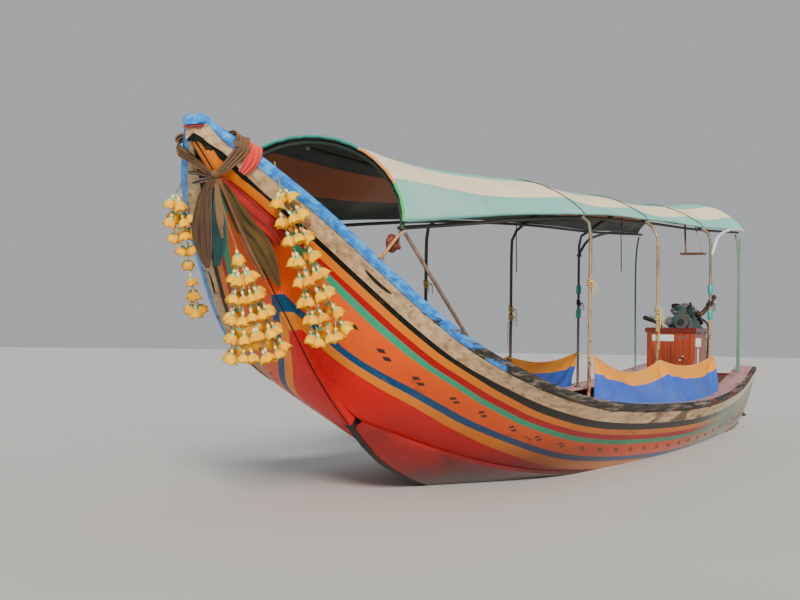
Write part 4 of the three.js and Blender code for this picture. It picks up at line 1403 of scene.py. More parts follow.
def build_inside():
    """Finishes of the inner structure, planks over the floor boards and nails in the benches."""
    dress("keel", "keel_and_stem")
    dress("transom", "transom")
    dress("frames", "frames", "engine_beam")
    low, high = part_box("floor_boards")
    boards = Shape()
    for i in range(BOARD_COUNT):
        middle = (i - (BOARD_COUNT - 1) / 2) * BOARD_PITCH
        ahead = high.x - 0.03 - 0.9 * max(0.0, abs(middle) - 0.2)
        boards.block(
            (low.x + 0.02, middle - BOARD_HALF, high.z + 0.0006),
            (ahead, middle + BOARD_HALF, high.z + 0.0012), 0.0002
        )
    boards.piece("floor_planks", "floor_boards", slot="floor_timber")
    dress("floor_boards", "floor_boards", "foredeck")
    nails = []
    for i in range(1, BENCH_COUNT + 1):
        name = "bench_%d" % i
        dress("bench", name)
        low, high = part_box(name)
        for y in (-BENCH_NAIL_Y, BENCH_NAIL_Y):
            for shift in (-0.06, 0.0, 0.06):
                nails.append((((low.x + high.x) / 2 + shift, y, high.z), (0, 0, 1)))
    scatter("bench_nails", nails, nail_mesh(), "nail")


# Canopy


COVER_ALONG, COVER_ACROSS = 150, 68

# The binding of the cover's front edge: from, to, in degrees from port, and which of its three colours
BINDING = ((0.0, 25.0, 2), (25.0, 56.0, 1), (56.0, 124.0, 0), (124.0, 155.0, 1), (155.0, 180.0, 2))
HOOP_FOOT = ((0.034, 0.0), (0.034, 0.004), (0.02, 0.006), (0.0165, 0.02), (0.0148, 0.026), (0.0, 0.026))
AFT_BRACE = (
    (-2.458, 0.642, 1.7), (-2.72, 0.628, 1.868), (-3.2, 0.603, 1.968), (-3.7, 0.578, 2.018),
    (-4.03, 0.558, 2.028),
)


def build_cover():
    """The striped cloth over the hoops, with its bound front edge and its hems."""
    shares = sorted(
        [j / COVER_ACROSS for j in range(COVER_ACROSS + 1)] + [
            mark + d for mark in STRIPES_AT for d in (-0.0004, 0.0004)
        ]
    )
    shape = Shape()
    grid, uvs = [], []
    for i in range(COVER_ALONG + 1):
        aft = COVER_FROM + (COVER_TO - COVER_FROM) * i / COVER_ALONG
        grid.append(cover_row(aft, shares))
        uvs.append([(aft, share) for share in shares])
    shape.loft(grid, uvs, round_it=False, ends=False)
    shape.faces = [face[::-1] for face in shape.faces]
    # The cloth's inner side wears the underside finish: painted shade, with painted glow in the cream stripes
    cloth = shape.piece(
        "canopy_cloth", ["cover", "underside_shade_and_glow"], slot="canopy_cloth", replaces=["canopy_cover"], crease=80,
        turn=False
    )
    thicken(cloth, 0.0025, -1.0, lining=True)
    edges = Shape()
    for start, end, slot in BINDING:
        edges.slot = slot
        steps = max(4, int((end - start) / 2.5))
        angles = [math.radians(start + (end - start) * k / steps) for k in range(steps + 1)]
        edges.tube([cover_point(COVER_FROM - 0.002, angle, 0.001) for angle in angles], 0.0085, 10)
    rim = edges.piece("cover_front_binding", ["bind_teal", "bind_orange", "bind_green"], slot="canopy_cloth")
    hems = Shape()
    for j in (0, -1):
        hems.tube([row[j] for row in grid], 0.0045, 8)
    hems.tube(grid[-1], 0.0045, 8)
    hem = hems.piece("cover_hems", "bind_teal", slot="canopy_cloth")
    declare_sheet(grid, "stretched")


def build_hoops():
    """Finishes of the tubes, feet for the legs, the braces aft, and cords over the cloth."""
    # The front hoop is painted near black as painted shade under the cover's edge
    dress("hoop_dark", "canopy_hoop_1")
    dress("tube", *HOOP_NAMES[1:])
    dress("rail_dark", "ridge_rail", "canopy_rail_port", "canopy_rail_starboard")
    dress("thin_post", "aft_post_port", "aft_post_starboard")
    dress("strut", "front_strut_port", "front_strut_starboard")
    feet, bolts = Shape(), []
    for aft in HOOPS_AFT[1:]:
        top = deck_top(aft) + 0.0004
        for _, hand in SIDES:
            base = (x_at(aft), hand * LEG_Y, top)
            feet.turned(HOOP_FOOT, base, (0, 0, 1), 24)
            for turn in range(4):
                a = math.pi / 4 + math.pi / 2 * turn
                spot = (base[0] + 0.027 * math.cos(a), base[1] + 0.027 * math.sin(a), top + 0.0045)
                bolts.append((spot, (0, 0, 1)))
    feet.piece("hoop_feet", "tube", slot="canopy_steel")
    scatter("hoop_foot_bolts", bolts, bolt_mesh(0.0028, 0.003), "iron")
    for side, hand in SIDES:
        shape = Shape().tube(curve_points([(x, hand * y, z) for x, y, z in AFT_BRACE], 30), 0.0135, 14)
        shape.tube([(-2.462, hand * 0.63, 1.688), (-2.462, hand * 0.63, 1.716)], 0.0205, 14)
        # Port brace in its own pale paint, starboard brace in painted shade
        shape.piece("aft_brace_" + side, "brace" if hand > 0 else "brace_dark", slot="canopy_steel")
    low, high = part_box("aft_post_port")
    pole = [(low.x - 0.045, high.y - 0.01, low.z + 0.004), (low.x - 0.045, high.y - 0.014, high.z - 0.03)]
    shape = Shape().tube(curve_points(pole, 12), 0.0085, 10)
    shape.piece("second_post", "thin_post", slot="canopy_steel")
    swing = Shape().block((x_at(6.96), 0.36, 1.691), (x_at(6.84), 0.575, 1.709), 0.003)
    swing.tube([(x_at(AFT_LEG), 0.4, 1.709), (x_at(AFT_LEG), 0.39, 2.0)], 0.009, 8)
    swing.tube([(x_at(AFT_LEG), 0.555, 1.709), (x_at(AFT_LEG), 0.47, 2.0)], 0.004, 8)
    swing.piece("hung_board", "bench", slot="bare_timber")
    over = []
    for aft in HOOPS_AFT[1:]:
        over.append([cover_point(aft + 0.02, math.pi * k / 40, 0.004) for k in range(41)])
    rope("cover_cords", over, 0.0035, "rope_dark", spacing=0.03)


TIE_WRAPS = 3


def cloth_tie(shape, place, high, radius):
    """A strip of cloth wound round a post, with two loose ends."""
    x, y, z = place
    steps = TIE_WRAPS * 14
    line = []
    for k in range(steps + 1):
        a = 2 * math.pi * TIE_WRAPS * k / steps
        line.append((x + radius * math.cos(a), y + radius * math.sin(a), z + high * k / steps))
    shape.tube(line, [0.0055] * len(line), 7)
    for lean in (-1, 1):
        drop = [
            (x + radius * lean, y + radius, z + high * 0.5),
            (x + (radius + 0.012) * lean, y + radius + 0.016, z + high * 0.5 - 0.012),
            (x + (radius + 0.016) * lean, y + radius + 0.018, z - 0.05)
        ]
        shape.tube(curve_points(drop, 9), [0.006 - 0.0004 * k for k in range(9)], 7)


def build_ties():
    """Cloth ties, wound wrappers and hanging cords on the posts."""
    yellow, dark, teal = Shape(), Shape(), Shape()
    for _, hand in SIDES:
        y = hand * LEG_Y
        for aft, z in ((FORE_LEG, 1.28), (MIDDLE_LEG, 1.13), (MIDDLE_LEG, 1.06)):
            cloth_tie(yellow, (x_at(aft), y, z), 0.05, 0.018)
        cloth_tie(dark, (x_at(AFT_LEG), y, 1.225), 0.05, 0.018)
        profile = [(0.0, 0.0), (0.02, 0.002), (0.024, 0.02), (0.023, 0.075), (0.018, 0.088), (0.0, 0.09)]
        for z in (1.33, 1.1):
            teal.turned(profile, (x_at(AFT_LEG), y, z), (0, 0, 1), 16)
    yellow.piece("post_ties_yellow", "rope_yellow", slot="canopy_steel")
    dark.piece("post_ties_dark", "tie_black", slot="canopy_steel")
    teal.piece("post_wrappers", "bottle_teal", slot="canopy_steel")
    for side, hand in SIDES:
        top = Vector((x_at(4.9), hand * 0.44, 1.865))
        hung = [top + Vector((0.006 * math.sin(0.35 * k), 0, -0.028 * k)) for k in range(16)]
        free_cord("hanging_cord_" + side, hung, 0.004, "tie_black")


def build_stay():
    """The forked stick that props the front hoop's corner on the rail, with a bundle tied to it."""
    for side, hand in SIDES:
        y, z = sheer(0.79)
        foot = Vector((x_at(0.79), hand * (y - 0.004), z + 0.01))
        top = Vector((x_at(0.975), hand * 0.575, 1.462))
        run = top - foot
        middle = foot + run * 0.5 + Vector((0.0, hand * 0.004, 0.01))
        line = curve_points([foot, middle, top], 16)
        shape = Shape().tube(line, [0.0095 - 0.0002 * k + 0.0009 * math.sin(2.1 * k) for k in range(16)], 10)
        fork = foot + run * 0.12
        for lean in (-1, 1):
            end = foot + Vector((0.02 * lean, hand * 0.006 * lean, 0.004 + 0.012 * (lean > 0)))
            shape.tube(
                curve_points([fork, (fork + end) / 2 + Vector((0.006 * lean, 0, 0)), end], 7),
                [0.0095, 0.011, 0.0115, 0.012, 0.0115, 0.01, 0.007], 9
            )
        shape.piece("corner_stick_" + side, "stick", slot="canopy_steel")
        rolls = []
        centre = foot + run * 0.66 + Vector((-0.022, -hand * 0.02, -0.012))
        for turn in range(3):
            reach = 0.044 - 0.01 * turn
            roll = []
            for k in range(19):
                a = 2 * math.pi * k / 18
                roll.append(
                    centre + Vector(
                        (0.9 * reach * math.cos(a), hand * (0.01 * turn - 0.012), reach * math.sin(a) * 0.85)
                    )
                )
            rolls.append(roll)
        rolls.append([centre + Vector((-0.02 - 0.006 * k, 0, -0.012 - 0.001 * k)) for k in range(7)])
        rope("corner_bundle_" + side, rolls, 0.0125, "rope_maroon", spacing=0.012)
        strap = [
            top + Vector((0.0, 0.0, 0.02)), top + Vector((0.018, -hand * 0.01, -0.01)),
            top + Vector((0.026, -hand * 0.012, -0.06))
        ]
        free_cord("corner_strap_" + side, curve_points(strap, 16), 0.005, "tie_black")


# Splash curtains


CURTAIN_FROM = 3.66
CURTAIN_TO = 6.94
CURTAIN_ALONG = 260
CURTAIN_Y = 0.654
CURTAIN_RISE = 0.336
ORANGE_DROP = 0.118
HUNG_AT = (CURTAIN_FROM, MIDDLE_LEG, CURTAIN_TO)
# The swags of the upper edge: from, to, and how deep
SWAGS = ((3.645, MIDDLE_LEG, 0.104), (MIDDLE_LEG, 6.955, 0.056))
# Aft of prow, and how far the foot is spread out to the rail
CURTAIN_SPREAD = ((3.645, 0.0), (4.05, 0.7), (4.45, 1.0), (5.7, 1.0), (6.45, 0.72), (6.955, 0.4))


def curtain_top(aft):
    """The curtain's upper edge, in swags between the places where it is hung."""
    start, end, sag = SWAGS[0] if aft <= MIDDLE_LEG else SWAGS[1]
    return sheer(aft)[1] + CURTAIN_RISE - sag * math.sin(math.pi * clamp((aft - start) / (end - start)))


def curtain_row(aft, hand):
    """Places down the curtain with their distance from its top."""
    top = Vector((0.0, CURTAIN_Y, curtain_top(aft)))
    foot_y = 0.664 + (sheer(aft)[0] - 0.072 - 0.66) * smooth(CURTAIN_SPREAD, 1, aft)
    foot = Vector((0.0, foot_y, deck_top(aft) + 0.006))
    fall = foot - top
    out = Vector((0.0, -fall.z, fall.y)).normalized()
    drops = [ORANGE_DROP * k / 8 for k in range(8)] + [ORANGE_DROP - 0.0004]
    drops += [ORANGE_DROP + 0.0004 + (fall.length - ORANGE_DROP - 0.0004) * k / 18 for k in range(19)]
    row = []
    for drop in drops:
        t = drop / fall.length
        shift = 0.0
        for near in HUNG_AT:
            reach = math.hypot(aft - near, drop + 0.03)
            lean = math.atan2(aft - near, drop + 0.05)
            shift += 0.017 * math.sin(9 * lean + near) * ease(drop, 0.0, 0.14) * math.exp(
                -((reach / 0.52) ** 2)
            )
        shift += 0.012 * math.sin(math.pi * t) * math.sin(aft * 5.3 + 1.0)
        shift += 0.008 * noise.noise(Vector((aft * 5.0, t * 3.0, 1.7 * hand))) * clamp(3 * t)
        spot = top + fall * t + out * shift * (0.35 + 0.65 * (1 - t) if t > 0.9 else 1.0)
        row.append(Vector((x_at(aft), hand * spot.y, spot.z)))
    return row, [(aft, drop) for drop in drops]


def build_curtains():
    """Two-coloured cloths hung between the hoop legs and spread out to the rail."""
    for side, hand in SIDES:
        grid, uvs = [], []
        for i in range(CURTAIN_ALONG + 1):
            row, marks = curtain_row(CURTAIN_FROM + (CURTAIN_TO - CURTAIN_FROM) * i / CURTAIN_ALONG, hand)
            grid.append(row)
            uvs.append(marks)
        shape = Shape().loft(grid, uvs, round_it=False, ends=False)
        if hand < 0:
            shape.faces = [face[::-1] for face in shape.faces]
        cloth = shape.piece(
            "curtain_" + side, "curtain", slot="curtain_cloth", replaces=["splash_curtain_" + side],
            crease=80, turn=False
        )
        thicken(cloth, 0.002)
        hem = Shape().tube([row[0] for row in grid], 0.0038, 8)
        hems = hem.piece("curtain_hem_" + side, "bind_orange", slot="curtain_cloth")
        foot = Shape().tube([row[-1] for row in grid], 0.0032, 8)
        feet = foot.piece("curtain_foot_" + side, "curtain_blue", slot="curtain_cloth")
        declare_sheet(grid, "hung")
        ties = Shape()
        for aft, place in zip(HUNG_AT, HOOPS_AFT[1:]):
            x, z = x_at(place), curtain_top(aft) - 0.012
            ring = [(x + 0.017 * math.cos(a), hand * LEG_Y + 0.017 * math.sin(a), z) for a in turns(16)]
            ties.tube(ring, 0.003, 6, closed=True)
        tape = [Vector((x_at(5.235), hand * 0.648, 1.05 - 0.014 * k)) for k in range(16)]
        free_cord("curtain_tape_" + side, tape, 0.004, "rope_yellow")
        ties.piece("curtain_ties_" + side, "rope_yellow", slot="curtain_cloth")


# Cloth on the prow


def cloth_strip(name, points, widths, way, finish, pleats, depth, phase, held="gathered", replaces=()):
    """A strip of pleated cloth along a line; its widths are given at a few places."""
    steps, across_steps = 44, 30
    line = curve_points(points, steps)
    spread = [max(p.x, 0.004) for p in curve_points([(w, 0, 0) for w in widths], steps)]
    ways = curve_points([way, way], steps)
    middle, loops, uvs = [], [], []
    gone = 0.0
    for i, here in enumerate(line):
        ahead = (line[min(i + 1, steps - 1)] - line[max(i - 1, 0)]).normalized()
        side_way = (ways[i] - ahead * ways[i].dot(ahead)).normalized()
        up = ahead.cross(side_way)
        gone += (here - line[i - 1]).length if i else 0.0
        row = []
        for j in range(across_steps + 1):
            t = j / across_steps
            fold = math.sin(2 * math.pi * pleats * t + phase + 1.2 * math.sin(gone * 9))
            fold += 0.5 * noise.noise(Vector((gone * 9.0, t * 6.0, phase)))
            fold *= depth * min(1.0, spread[i] / max(widths) + 0.1)
            row.append(here + side_way * ((t - 0.5) * spread[i]) + up * fold)
        middle.append(row)
        loops.append([p + up * 0.0008 for p in row] + [p - up * 0.0008 for p in row[::-1]])
        marks = [(gone, 0.25 * j / across_steps) for j in range(across_steps + 1)]
        uvs.append(marks + marks[::-1])
    cloth = Shape().loft(loops, uvs).piece(name, finish, slot="sash_cloth", replaces=replaces, crease=80)
    declare_sheet(middle, held)


KNOT = Vector((4.305, 0.012, 1.68))
OVER_RAIL = (
    (4.335, 0.182, 1.806), (4.336, 0.18, 1.838), (4.336, 0.15, 1.851), (4.336, 0.105, 1.838),
    (4.335, 0.05, 1.815),
)
PORT_ARM = ((4.308, 0.03, 1.683), (4.313, 0.074, 1.708), (4.322, 0.136, 1.752), (4.33, 0.176, 1.784))
STARBOARD_ARM = (
    (4.306, -0.016, 1.683), (4.322, -0.055, 1.714), (4.334, -0.118, 1.76), (4.337, -0.166, 1.788)
)
ARM_WIDTHS = (0.03, 0.046, 0.06, 0.074, 0.08, 0.078, 0.07, 0.062, 0.05)

# The ways across the strips
TO_PORT, TO_STARBOARD = (-0.617, 0.549, -0.562), (-0.617, -0.549, -0.562)
LOOSE, ASIDE, LEVEL = (-0.3, 0.2, -0.9), (0.0, 0.93, 0.36), (0.1, 1.0, 0.0)

# Strips of cloth: points, widths, way across, finish, pleats, their depth and phase, and how each is held
SASH = {
    "sash_arm_port": (
        PORT_ARM + OVER_RAIL, ARM_WIDTHS, TO_PORT, "sash_gauze", 4.0, 0.006, 0.0, "gathered", ["prow_sash"]
    ),
    "sash_arm_starboard": (
        STARBOARD_ARM + tuple((x, -y, z) for x, y, z in OVER_RAIL), ARM_WIDTHS,
        TO_STARBOARD, "sash_gauze", 4.0, 0.006, 2.0,
    ),
    "coral_band": (
        ((4.268, 0.134, 1.684), (4.279, 0.19, 1.727), (4.29, 0.216, 1.765), (4.288, 0.22, 1.796),
         (4.286, 0.196, 1.814), (4.284, 0.15, 1.808), (4.284, 0.11, 1.785)),
        (0.04, 0.066, 0.072, 0.07, 0.064, 0.055, 0.045), TO_PORT, "coral", 3.0, 0.006, 2.0,
    ),
    "loose_strand_upper": (
        ((4.302, -0.02, 1.672), (4.292, -0.098, 1.69), (4.268, -0.178, 1.7)),
        (0.016, 0.024, 0.018), LOOSE, "taupe", 1.5, 0.004, 1.0, "draped",
    ),
    "loose_strand_lower": (
        ((4.3, -0.02, 1.664), (4.272, -0.098, 1.658), (4.25, -0.168, 1.65)),
        (0.014, 0.022, 0.01), LOOSE, "taupe", 1.5, 0.004, 4.0, "draped",
    ),
}
TAILS = {
    "tail_red": (
        ((4.285, 0.022, 1.664), (4.185, 0.058, 1.585), (4.105, 0.106, 1.51), (4.025, 0.154, 1.436),
         (3.96, 0.168, 1.371)),
        (0.03, 0.08, 0.088, 0.082, 0.05), ASIDE, "red_cloth", 1.6, 0.005, 2.4, "gathered", ["prow_tails"],
    ),
    "tail_khaki": (
        ((4.275, 0.02, 1.65), (4.22, 0.026, 1.592), (4.1, 0.03, 1.47), (4.02, 0.057, 1.391),
         (3.925, 0.06, 1.289), (3.815, 0.058, 1.171)),
        (0.025, 0.06, 0.105, 0.118, 0.1, 0.024), ASIDE, "khaki", 2.2, 0.008, 0.9,
    ),
    "tail_brown": (
        ((4.312, 0.03, 1.655), (4.262, 0.035, 1.596), (4.172, 0.026, 1.506), (4.088, 0.02, 1.41),
         (4.005, 0.016, 1.314), (3.895, 0.026, 1.2)),
        (0.03, 0.028, 0.027, 0.027, 0.026, 0.012), ASIDE, "brown_gauze", 1.5, 0.006, 3.0,
    ),
    "tail_taupe": (
        ((4.31, 0.004, 1.665), (4.335, -0.02, 1.58), (4.345, -0.025, 1.49), (4.345, -0.027, 1.39),
         (4.33, -0.022, 1.3), (4.32, -0.015, 1.237)),
        (0.025, 0.08, 0.112, 0.12, 0.08, 0.02), LEVEL, "taupe", 4.0, 0.009, 0.4,
    ),
    "tail_narrow": (
        ((4.3, 0.012, 1.66), (4.302, 0.024, 1.56), (4.29, 0.032, 1.46), (4.275, 0.036, 1.38)),
        (0.02, 0.04, 0.042, 0.014), LEVEL, "brown_gauze", 1.5, 0.004, 5.0,
    ),
    "tail_teal": (
        ((4.295, 0.004, 1.62), (4.283, 0.01, 1.46), (4.268, 0.01, 1.35), (4.262, 0.0, 1.25)),
        (0.03, 0.088, 0.094, 0.04), LEVEL, "teal_gauze", 3.0, 0.007, 1.9,
    ),
}


def build_prow_cloth():
    """The gathered cloth round the prow with its knot, and the cloth ends that hang from it."""
    for name, strip in SASH.items():
        cloth_strip(name, *strip)
    knot = Shape()
    rng = random.Random(9)
    for k in range(6):
        a = math.pi * k / 6
        way = Vector((0.25, math.cos(a), math.sin(a))).normalized()
        bulge = 0.016 + 0.006 * rng.random()
        loop = curve_points([KNOT - way * 0.016, KNOT + Vector((bulge, 0, 0)), KNOT + way * 0.016], 11)
        knot.tube(loop, [0.006 + 0.005 * math.sin(math.pi * j / 10) for j in range(11)], 9)
    knot.piece("sash_knot", "sash_gauze", slot="sash_cloth")
    for name, strip in TAILS.items():
        cloth_strip(name, *strip)


# Garlands


def flower_mesh():
    """A bell-shaped marigold head whose rim opens in five petals."""
    sides = 15
    rows = (
        (0.003, 0.0), (0.017, 0.003), (0.025, 0.014), (0.028, 0.027), (0.032, 0.038), (0.022, 0.033),
        (0.01, 0.018)
    )
    points, faces = [], []
    for row, (radius, along) in enumerate(rows):
        flare = 0.0 if row < 2 else min(1.0, along / 0.038)
        for a in turns(sides):
            petal = math.cos(5 * a)
            reach = radius * (1 + 0.16 * flare * petal)
            points.append((reach * math.cos(a), reach * math.sin(a), along + 0.004 * flare * petal))
    for row in range(len(rows) - 1):
        for k in range(sides):
            a, n = row * sides, (k + 1) % sides
            faces.append((a + k, a + n, a + sides + n, a + sides + k))
    faces.append(list(range(sides))[::-1])
    faces.append([(len(rows) - 1) * sides + k for k in range(sides)])
    mesh = mesh_of("flower", points, faces)
    mesh.shade_smooth()
    return mesh


# Small heads: a turned profile and how many sides it has
BUD = ((0.0, -0.013), (0.0065, -0.008), (0.009, 0.001), (0.0055, 0.009), (0.0, 0.013)), 8
LEAF_CUP = ((0.004, -0.006), (0.0125, -0.002), (0.0165, 0.006), (0.015, 0.01), (0.0, 0.004)), 10

# Garlands: top and foot as (aft, y, z), the place each hangs from, and (radius, flowers) in each tier
GARLAND_PLAN = {
    "port": (
        (0.295, 0.292, 1.585),
        (0.59, 0.372, 0.955),
        (0.262, 0.262, 1.742),
        ((0.035, 3), (0.045, 5), (0.042, 6), (0.047, 6), (0.05, 7), (0.057, 7), (0.066, 8), (0.083, 10)),
    ),
    "centre": (
        (0.395, -0.03, 1.315),
        (0.565, -0.026, 0.862),
        (0.15, 0.004, 1.668),
        ((0.002, 1), (0.04, 6), (0.066, 9), (0.088, 11), (0.106, 13), (0.124, 15)),
    ),
    "starboard": (
        (0.395, -0.398, 1.6),
        (0.66, -0.474, 1.065),
        (0.38, -0.368, 1.685),
        ((0.034, 4), (0.046, 5), (0.04, 4), (0.014, 2), (0.01, 1), (0.01, 1), (0.012, 2), (0.024, 3)),
    ),
}


def build_garlands():
    """Three strings of flower heads under the prow, in tiers that widen downwards."""
    settings = bpy.context.scene.boat_garlands
    bud, cup = small_mesh("bud", BUD, even=True), small_mesh("cup", LEAF_CUP, even=True)
    for name, (top, foot, hook, tiers) in GARLAND_PLAN.items():
        rng = random.Random(settings.seed + len(name))
        start, end, hook = (Vector((x_at(aft), y, z)) for aft, y, z in (top, foot, hook))
        down = (end - start).normalized()
        across = down.orthogonal().normalized()
        other = down.cross(across)
        flowers, buds, threads = [], [], []
        previous = [start - down * 0.05]
        for tier, (radius, count) in enumerate(tiers):
            centre = start.lerp(end, tier / (len(tiers) - 1))
            spots = []
            for k in range(count):
                a = 2 * math.pi * (k + 0.5 * (tier % 2)) / count + rng.uniform(-0.16, 0.16)
                way = math.cos(a) * across + math.sin(a) * other
                spot = centre + way * radius * rng.uniform(0.92, 1.06) + down * rng.uniform(-0.01, 0.01)
                above = min(previous, key=lambda p: (p - spot).length)
                rise = (above - spot).normalized()
                mouth = (down * 0.9 + way * 0.45).normalized()
                flowers.append((tuple(spot), tuple(mouth)))
                buds.append((tuple(spot + rise * 0.017), tuple(rise)))
                threads.append([tuple(spot), tuple(spot.lerp(above, 0.5)), tuple(above)])
                spots.append(spot)
            previous = spots
        sizes = [size * settings.flower_size for size in (1.0, 1.22)]
        for kind, spots, copy, finish, sizes in (
            ("flowers_", flowers, flower_mesh(), "marigold", sizes),
            ("buds_", buds, bud, "bud", (0.8, 1.15)),
            ("leaf_cups_", flowers, cup, "leaf", (0.85, 1.05)),
        ):
            made = scatter(kind + name, spots, copy, finish, sizes, seed=settings.seed)
            if kind == "flowers_":
                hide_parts("garland_" + name)
        rope("garland_threads_" + name, threads, 0.0015, "leaf", spacing=0.02, sides=5)
        hanger = curve_points([start - down * 0.05, (start + hook) / 2 + Vector((0.006, 0, 0)), hook], 12)
        rope("garland_hanger_" + name, [hanger], 0.0035, "rope_tan")


# Seat box


BOX_BOARDS = 4


def build_driver_box():
    """Boards, lid, blank label, switch and small fittings of the seat box."""
    dress("varnish", "seat_box")
    dress("lid", "seat_box_lid")
    dress("white", "switch_box")
    low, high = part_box("seat_box")
    boards = Shape()
    wide = (high.y - low.y) / BOX_BOARDS
    for k in range(BOX_BOARDS):
        start = low.y + wide * k
        for x in (high.x + 0.0005, low.x - 0.0085):
            boards.block(
                (x, start + 0.001, low.z + 0.004), (x + 0.008, start + wide - 0.001, high.z - 0.004), 0.0015
            )
    boards.piece("box_boards", "varnish", slot="box_varnish")
    face_x = high.x + 0.0088
    plate = Shape()
    plate.block((face_x, 0.082, 0.9), (face_x + 0.0016, 0.285, 0.958), 0.0005)
    plate.piece("box_label_blank", "label", slot="white_plastic")
    spots = [((face_x, 0.325 + 0.045 * k, 0.935), (1, 0, 0)) for k in range(3)]
    scatter("box_round_spots", spots, bolt_mesh(0.008, 0.004), "bright")
    ring = Shape()
    centre = Vector((face_x + 0.0078, 0.364, 0.756))
    drops = [(0.004 * math.sin(a), 0.022 * math.sin(a), -0.022 + 0.022 * math.cos(a)) for a in turns(24)]
    line = [centre + Vector(drop) for drop in drops]
    ring.tube(line, 0.0028, 8, closed=True)
    ring.turned(
        [(0.012, 0.0), (0.012, 0.003), (0.005, 0.006), (0.0, 0.0065)], centre - Vector((0.0075, 0, 0)),
        (1, 0, 0), 16
    )
    ring.piece("box_ring_pull", "bright", slot="box_varnish")
    conduit = [(-2.56, high.y + 0.012, z) for z in (0.848, 0.7, 0.45, 0.16)]
    rope("switch_conduit", [curve_points(conduit, 20)], 0.006, "white", sides=12)
    switch_low, switch_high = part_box("switch_box")
    face = Shape()
    y = switch_high.y
    middle = (switch_low + switch_high) / 2
    for wide, high_by, near, far, bevel in (
        (0.028, 0.032, 0.0004, 0.004, 0.0015), (0.009, 0.014, 0.003, 0.008, 0.002)
    ):
        low_corner = (middle.x - wide, y + near, middle.z - high_by)
        face.block(low_corner, (middle.x + wide, y + far, middle.z + high_by), bevel)
    face.piece("switch_face", "white", slot="white_plastic")
    lid_low, lid_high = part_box("seat_box_lid")
    edge = Shape()
    edge.block(
        (lid_low.x + 0.004, lid_low.y + 0.004, lid_high.z + 0.0003),
        (lid_high.x - 0.004, lid_high.y - 0.004, lid_high.z + 0.004), 0.003
    )
    edge.piece("lid_board", "lid", body="lid", slot="box_varnish")
    hinges = Shape()
    for x in (lid_low.x + 0.09, lid_high.x - 0.09):
        hinges.turned(
            [(0.0, -0.03), (0.005, -0.03), (0.005, 0.03), (0.0, 0.03)],
            (x, lid_high.y + 0.0055, lid_low.z + 0.004), (1, 0, 0), 14
        )
    hinges.piece("lid_hinges", "iron", body="lid", slot="box_varnish")


# Drive


def build_drive():
    """Finishes of the swivel and tail, the socket's bolts and gussets, and the pivot's nuts."""
    dress("iron", "swivel_socket", "swivel_yoke", "engine_cradle", "exhaust", "tiller", "shaft_tube")
    dress("engine", "engine_block")
    dress("bronze", "propeller")
    low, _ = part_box("swivel_socket")
    bolts = []
    for dx in (-0.078, 0.078):
        for dy in (-0.078, 0.078):
            bolts.append(((TAIL_PIVOT.x + dx, dy, low.z + 0.0155), (0, 0, 1)))
    scatter("socket_bolts", bolts, bolt_mesh(0.011, 0.009), "bright")
    gussets = Shape()
    for k in range(4):
        a = math.pi / 4 + k * math.pi / 2
        way = Vector((math.cos(a), math.sin(a), 0))
        base = Vector((TAIL_PIVOT.x, 0, low.z + 0.0155))
        inner, outer = base + way * 0.0465, base + way * 0.082
        flat = way.cross(Vector((0, 0, 1))) * 0.004
        ring = [inner, outer, inner + Vector((0, 0, 0.085))]
        gussets.loft([[p - flat for p in ring], [p + flat for p in ring]])
    gussets.piece("socket_gussets", "iron", slot="drive_iron")
    nuts = Shape()
    for hand in (1, -1):
        y = hand * 0.1795
        nuts.turned(PIVOT_NUT, (TAIL_PIVOT.x, y, TAIL_PIVOT.z), (0, hand, 0), 6)
    nuts.piece("pivot_nuts", "bright", body="swivel", slot="drive_iron")
    build_engine_detail()
    build_shaft_detail()


# Turned parts of the engine: (radius, distance along)
FILTER_FOOT = ((0.0, 0.0), (0.055, 0.0), (0.058, 0.006), (0.052, 0.012))
AIR_FILTER = FILTER_FOOT + ((0.052, 0.058), (0.058, 0.064), (0.055, 0.072), (0.0, 0.074))
OIL_FILTER = ((0.0, 0.0), (0.034, 0.0), (0.036, 0.01), (0.036, 0.075), (0.028, 0.085), (0.0, 0.086))
PULLEY = ((0.0, 0.0), (0.03, 0.0), (0.034, 0.004), (0.028, 0.01), (0.034, 0.016), (0.0, 0.018))
ALTERNATOR = ((0.0, -0.05), (0.046, -0.05), (0.05, -0.04), (0.05, 0.04), (0.046, 0.05), (0.0, 0.05))
SMALL_PULLEY = ((0.0, 0.0), (0.028, 0.0), (0.024, 0.006), (0.028, 0.012), (0.0, 0.014))
PIVOT_NUT = ((0.024, 0.0), (0.024, 0.003), (0.016, 0.003), (0.016, 0.014), (0.01, 0.017), (0.0, 0.017))
SHAFT_NOSE = ((0.0362, 0.0), (0.033, 0.018), (0.024, 0.036), (0.01, 0.048), (0.0, 0.05))
CYLINDERS = [-0.14 + 0.1 * k for k in range(4)]


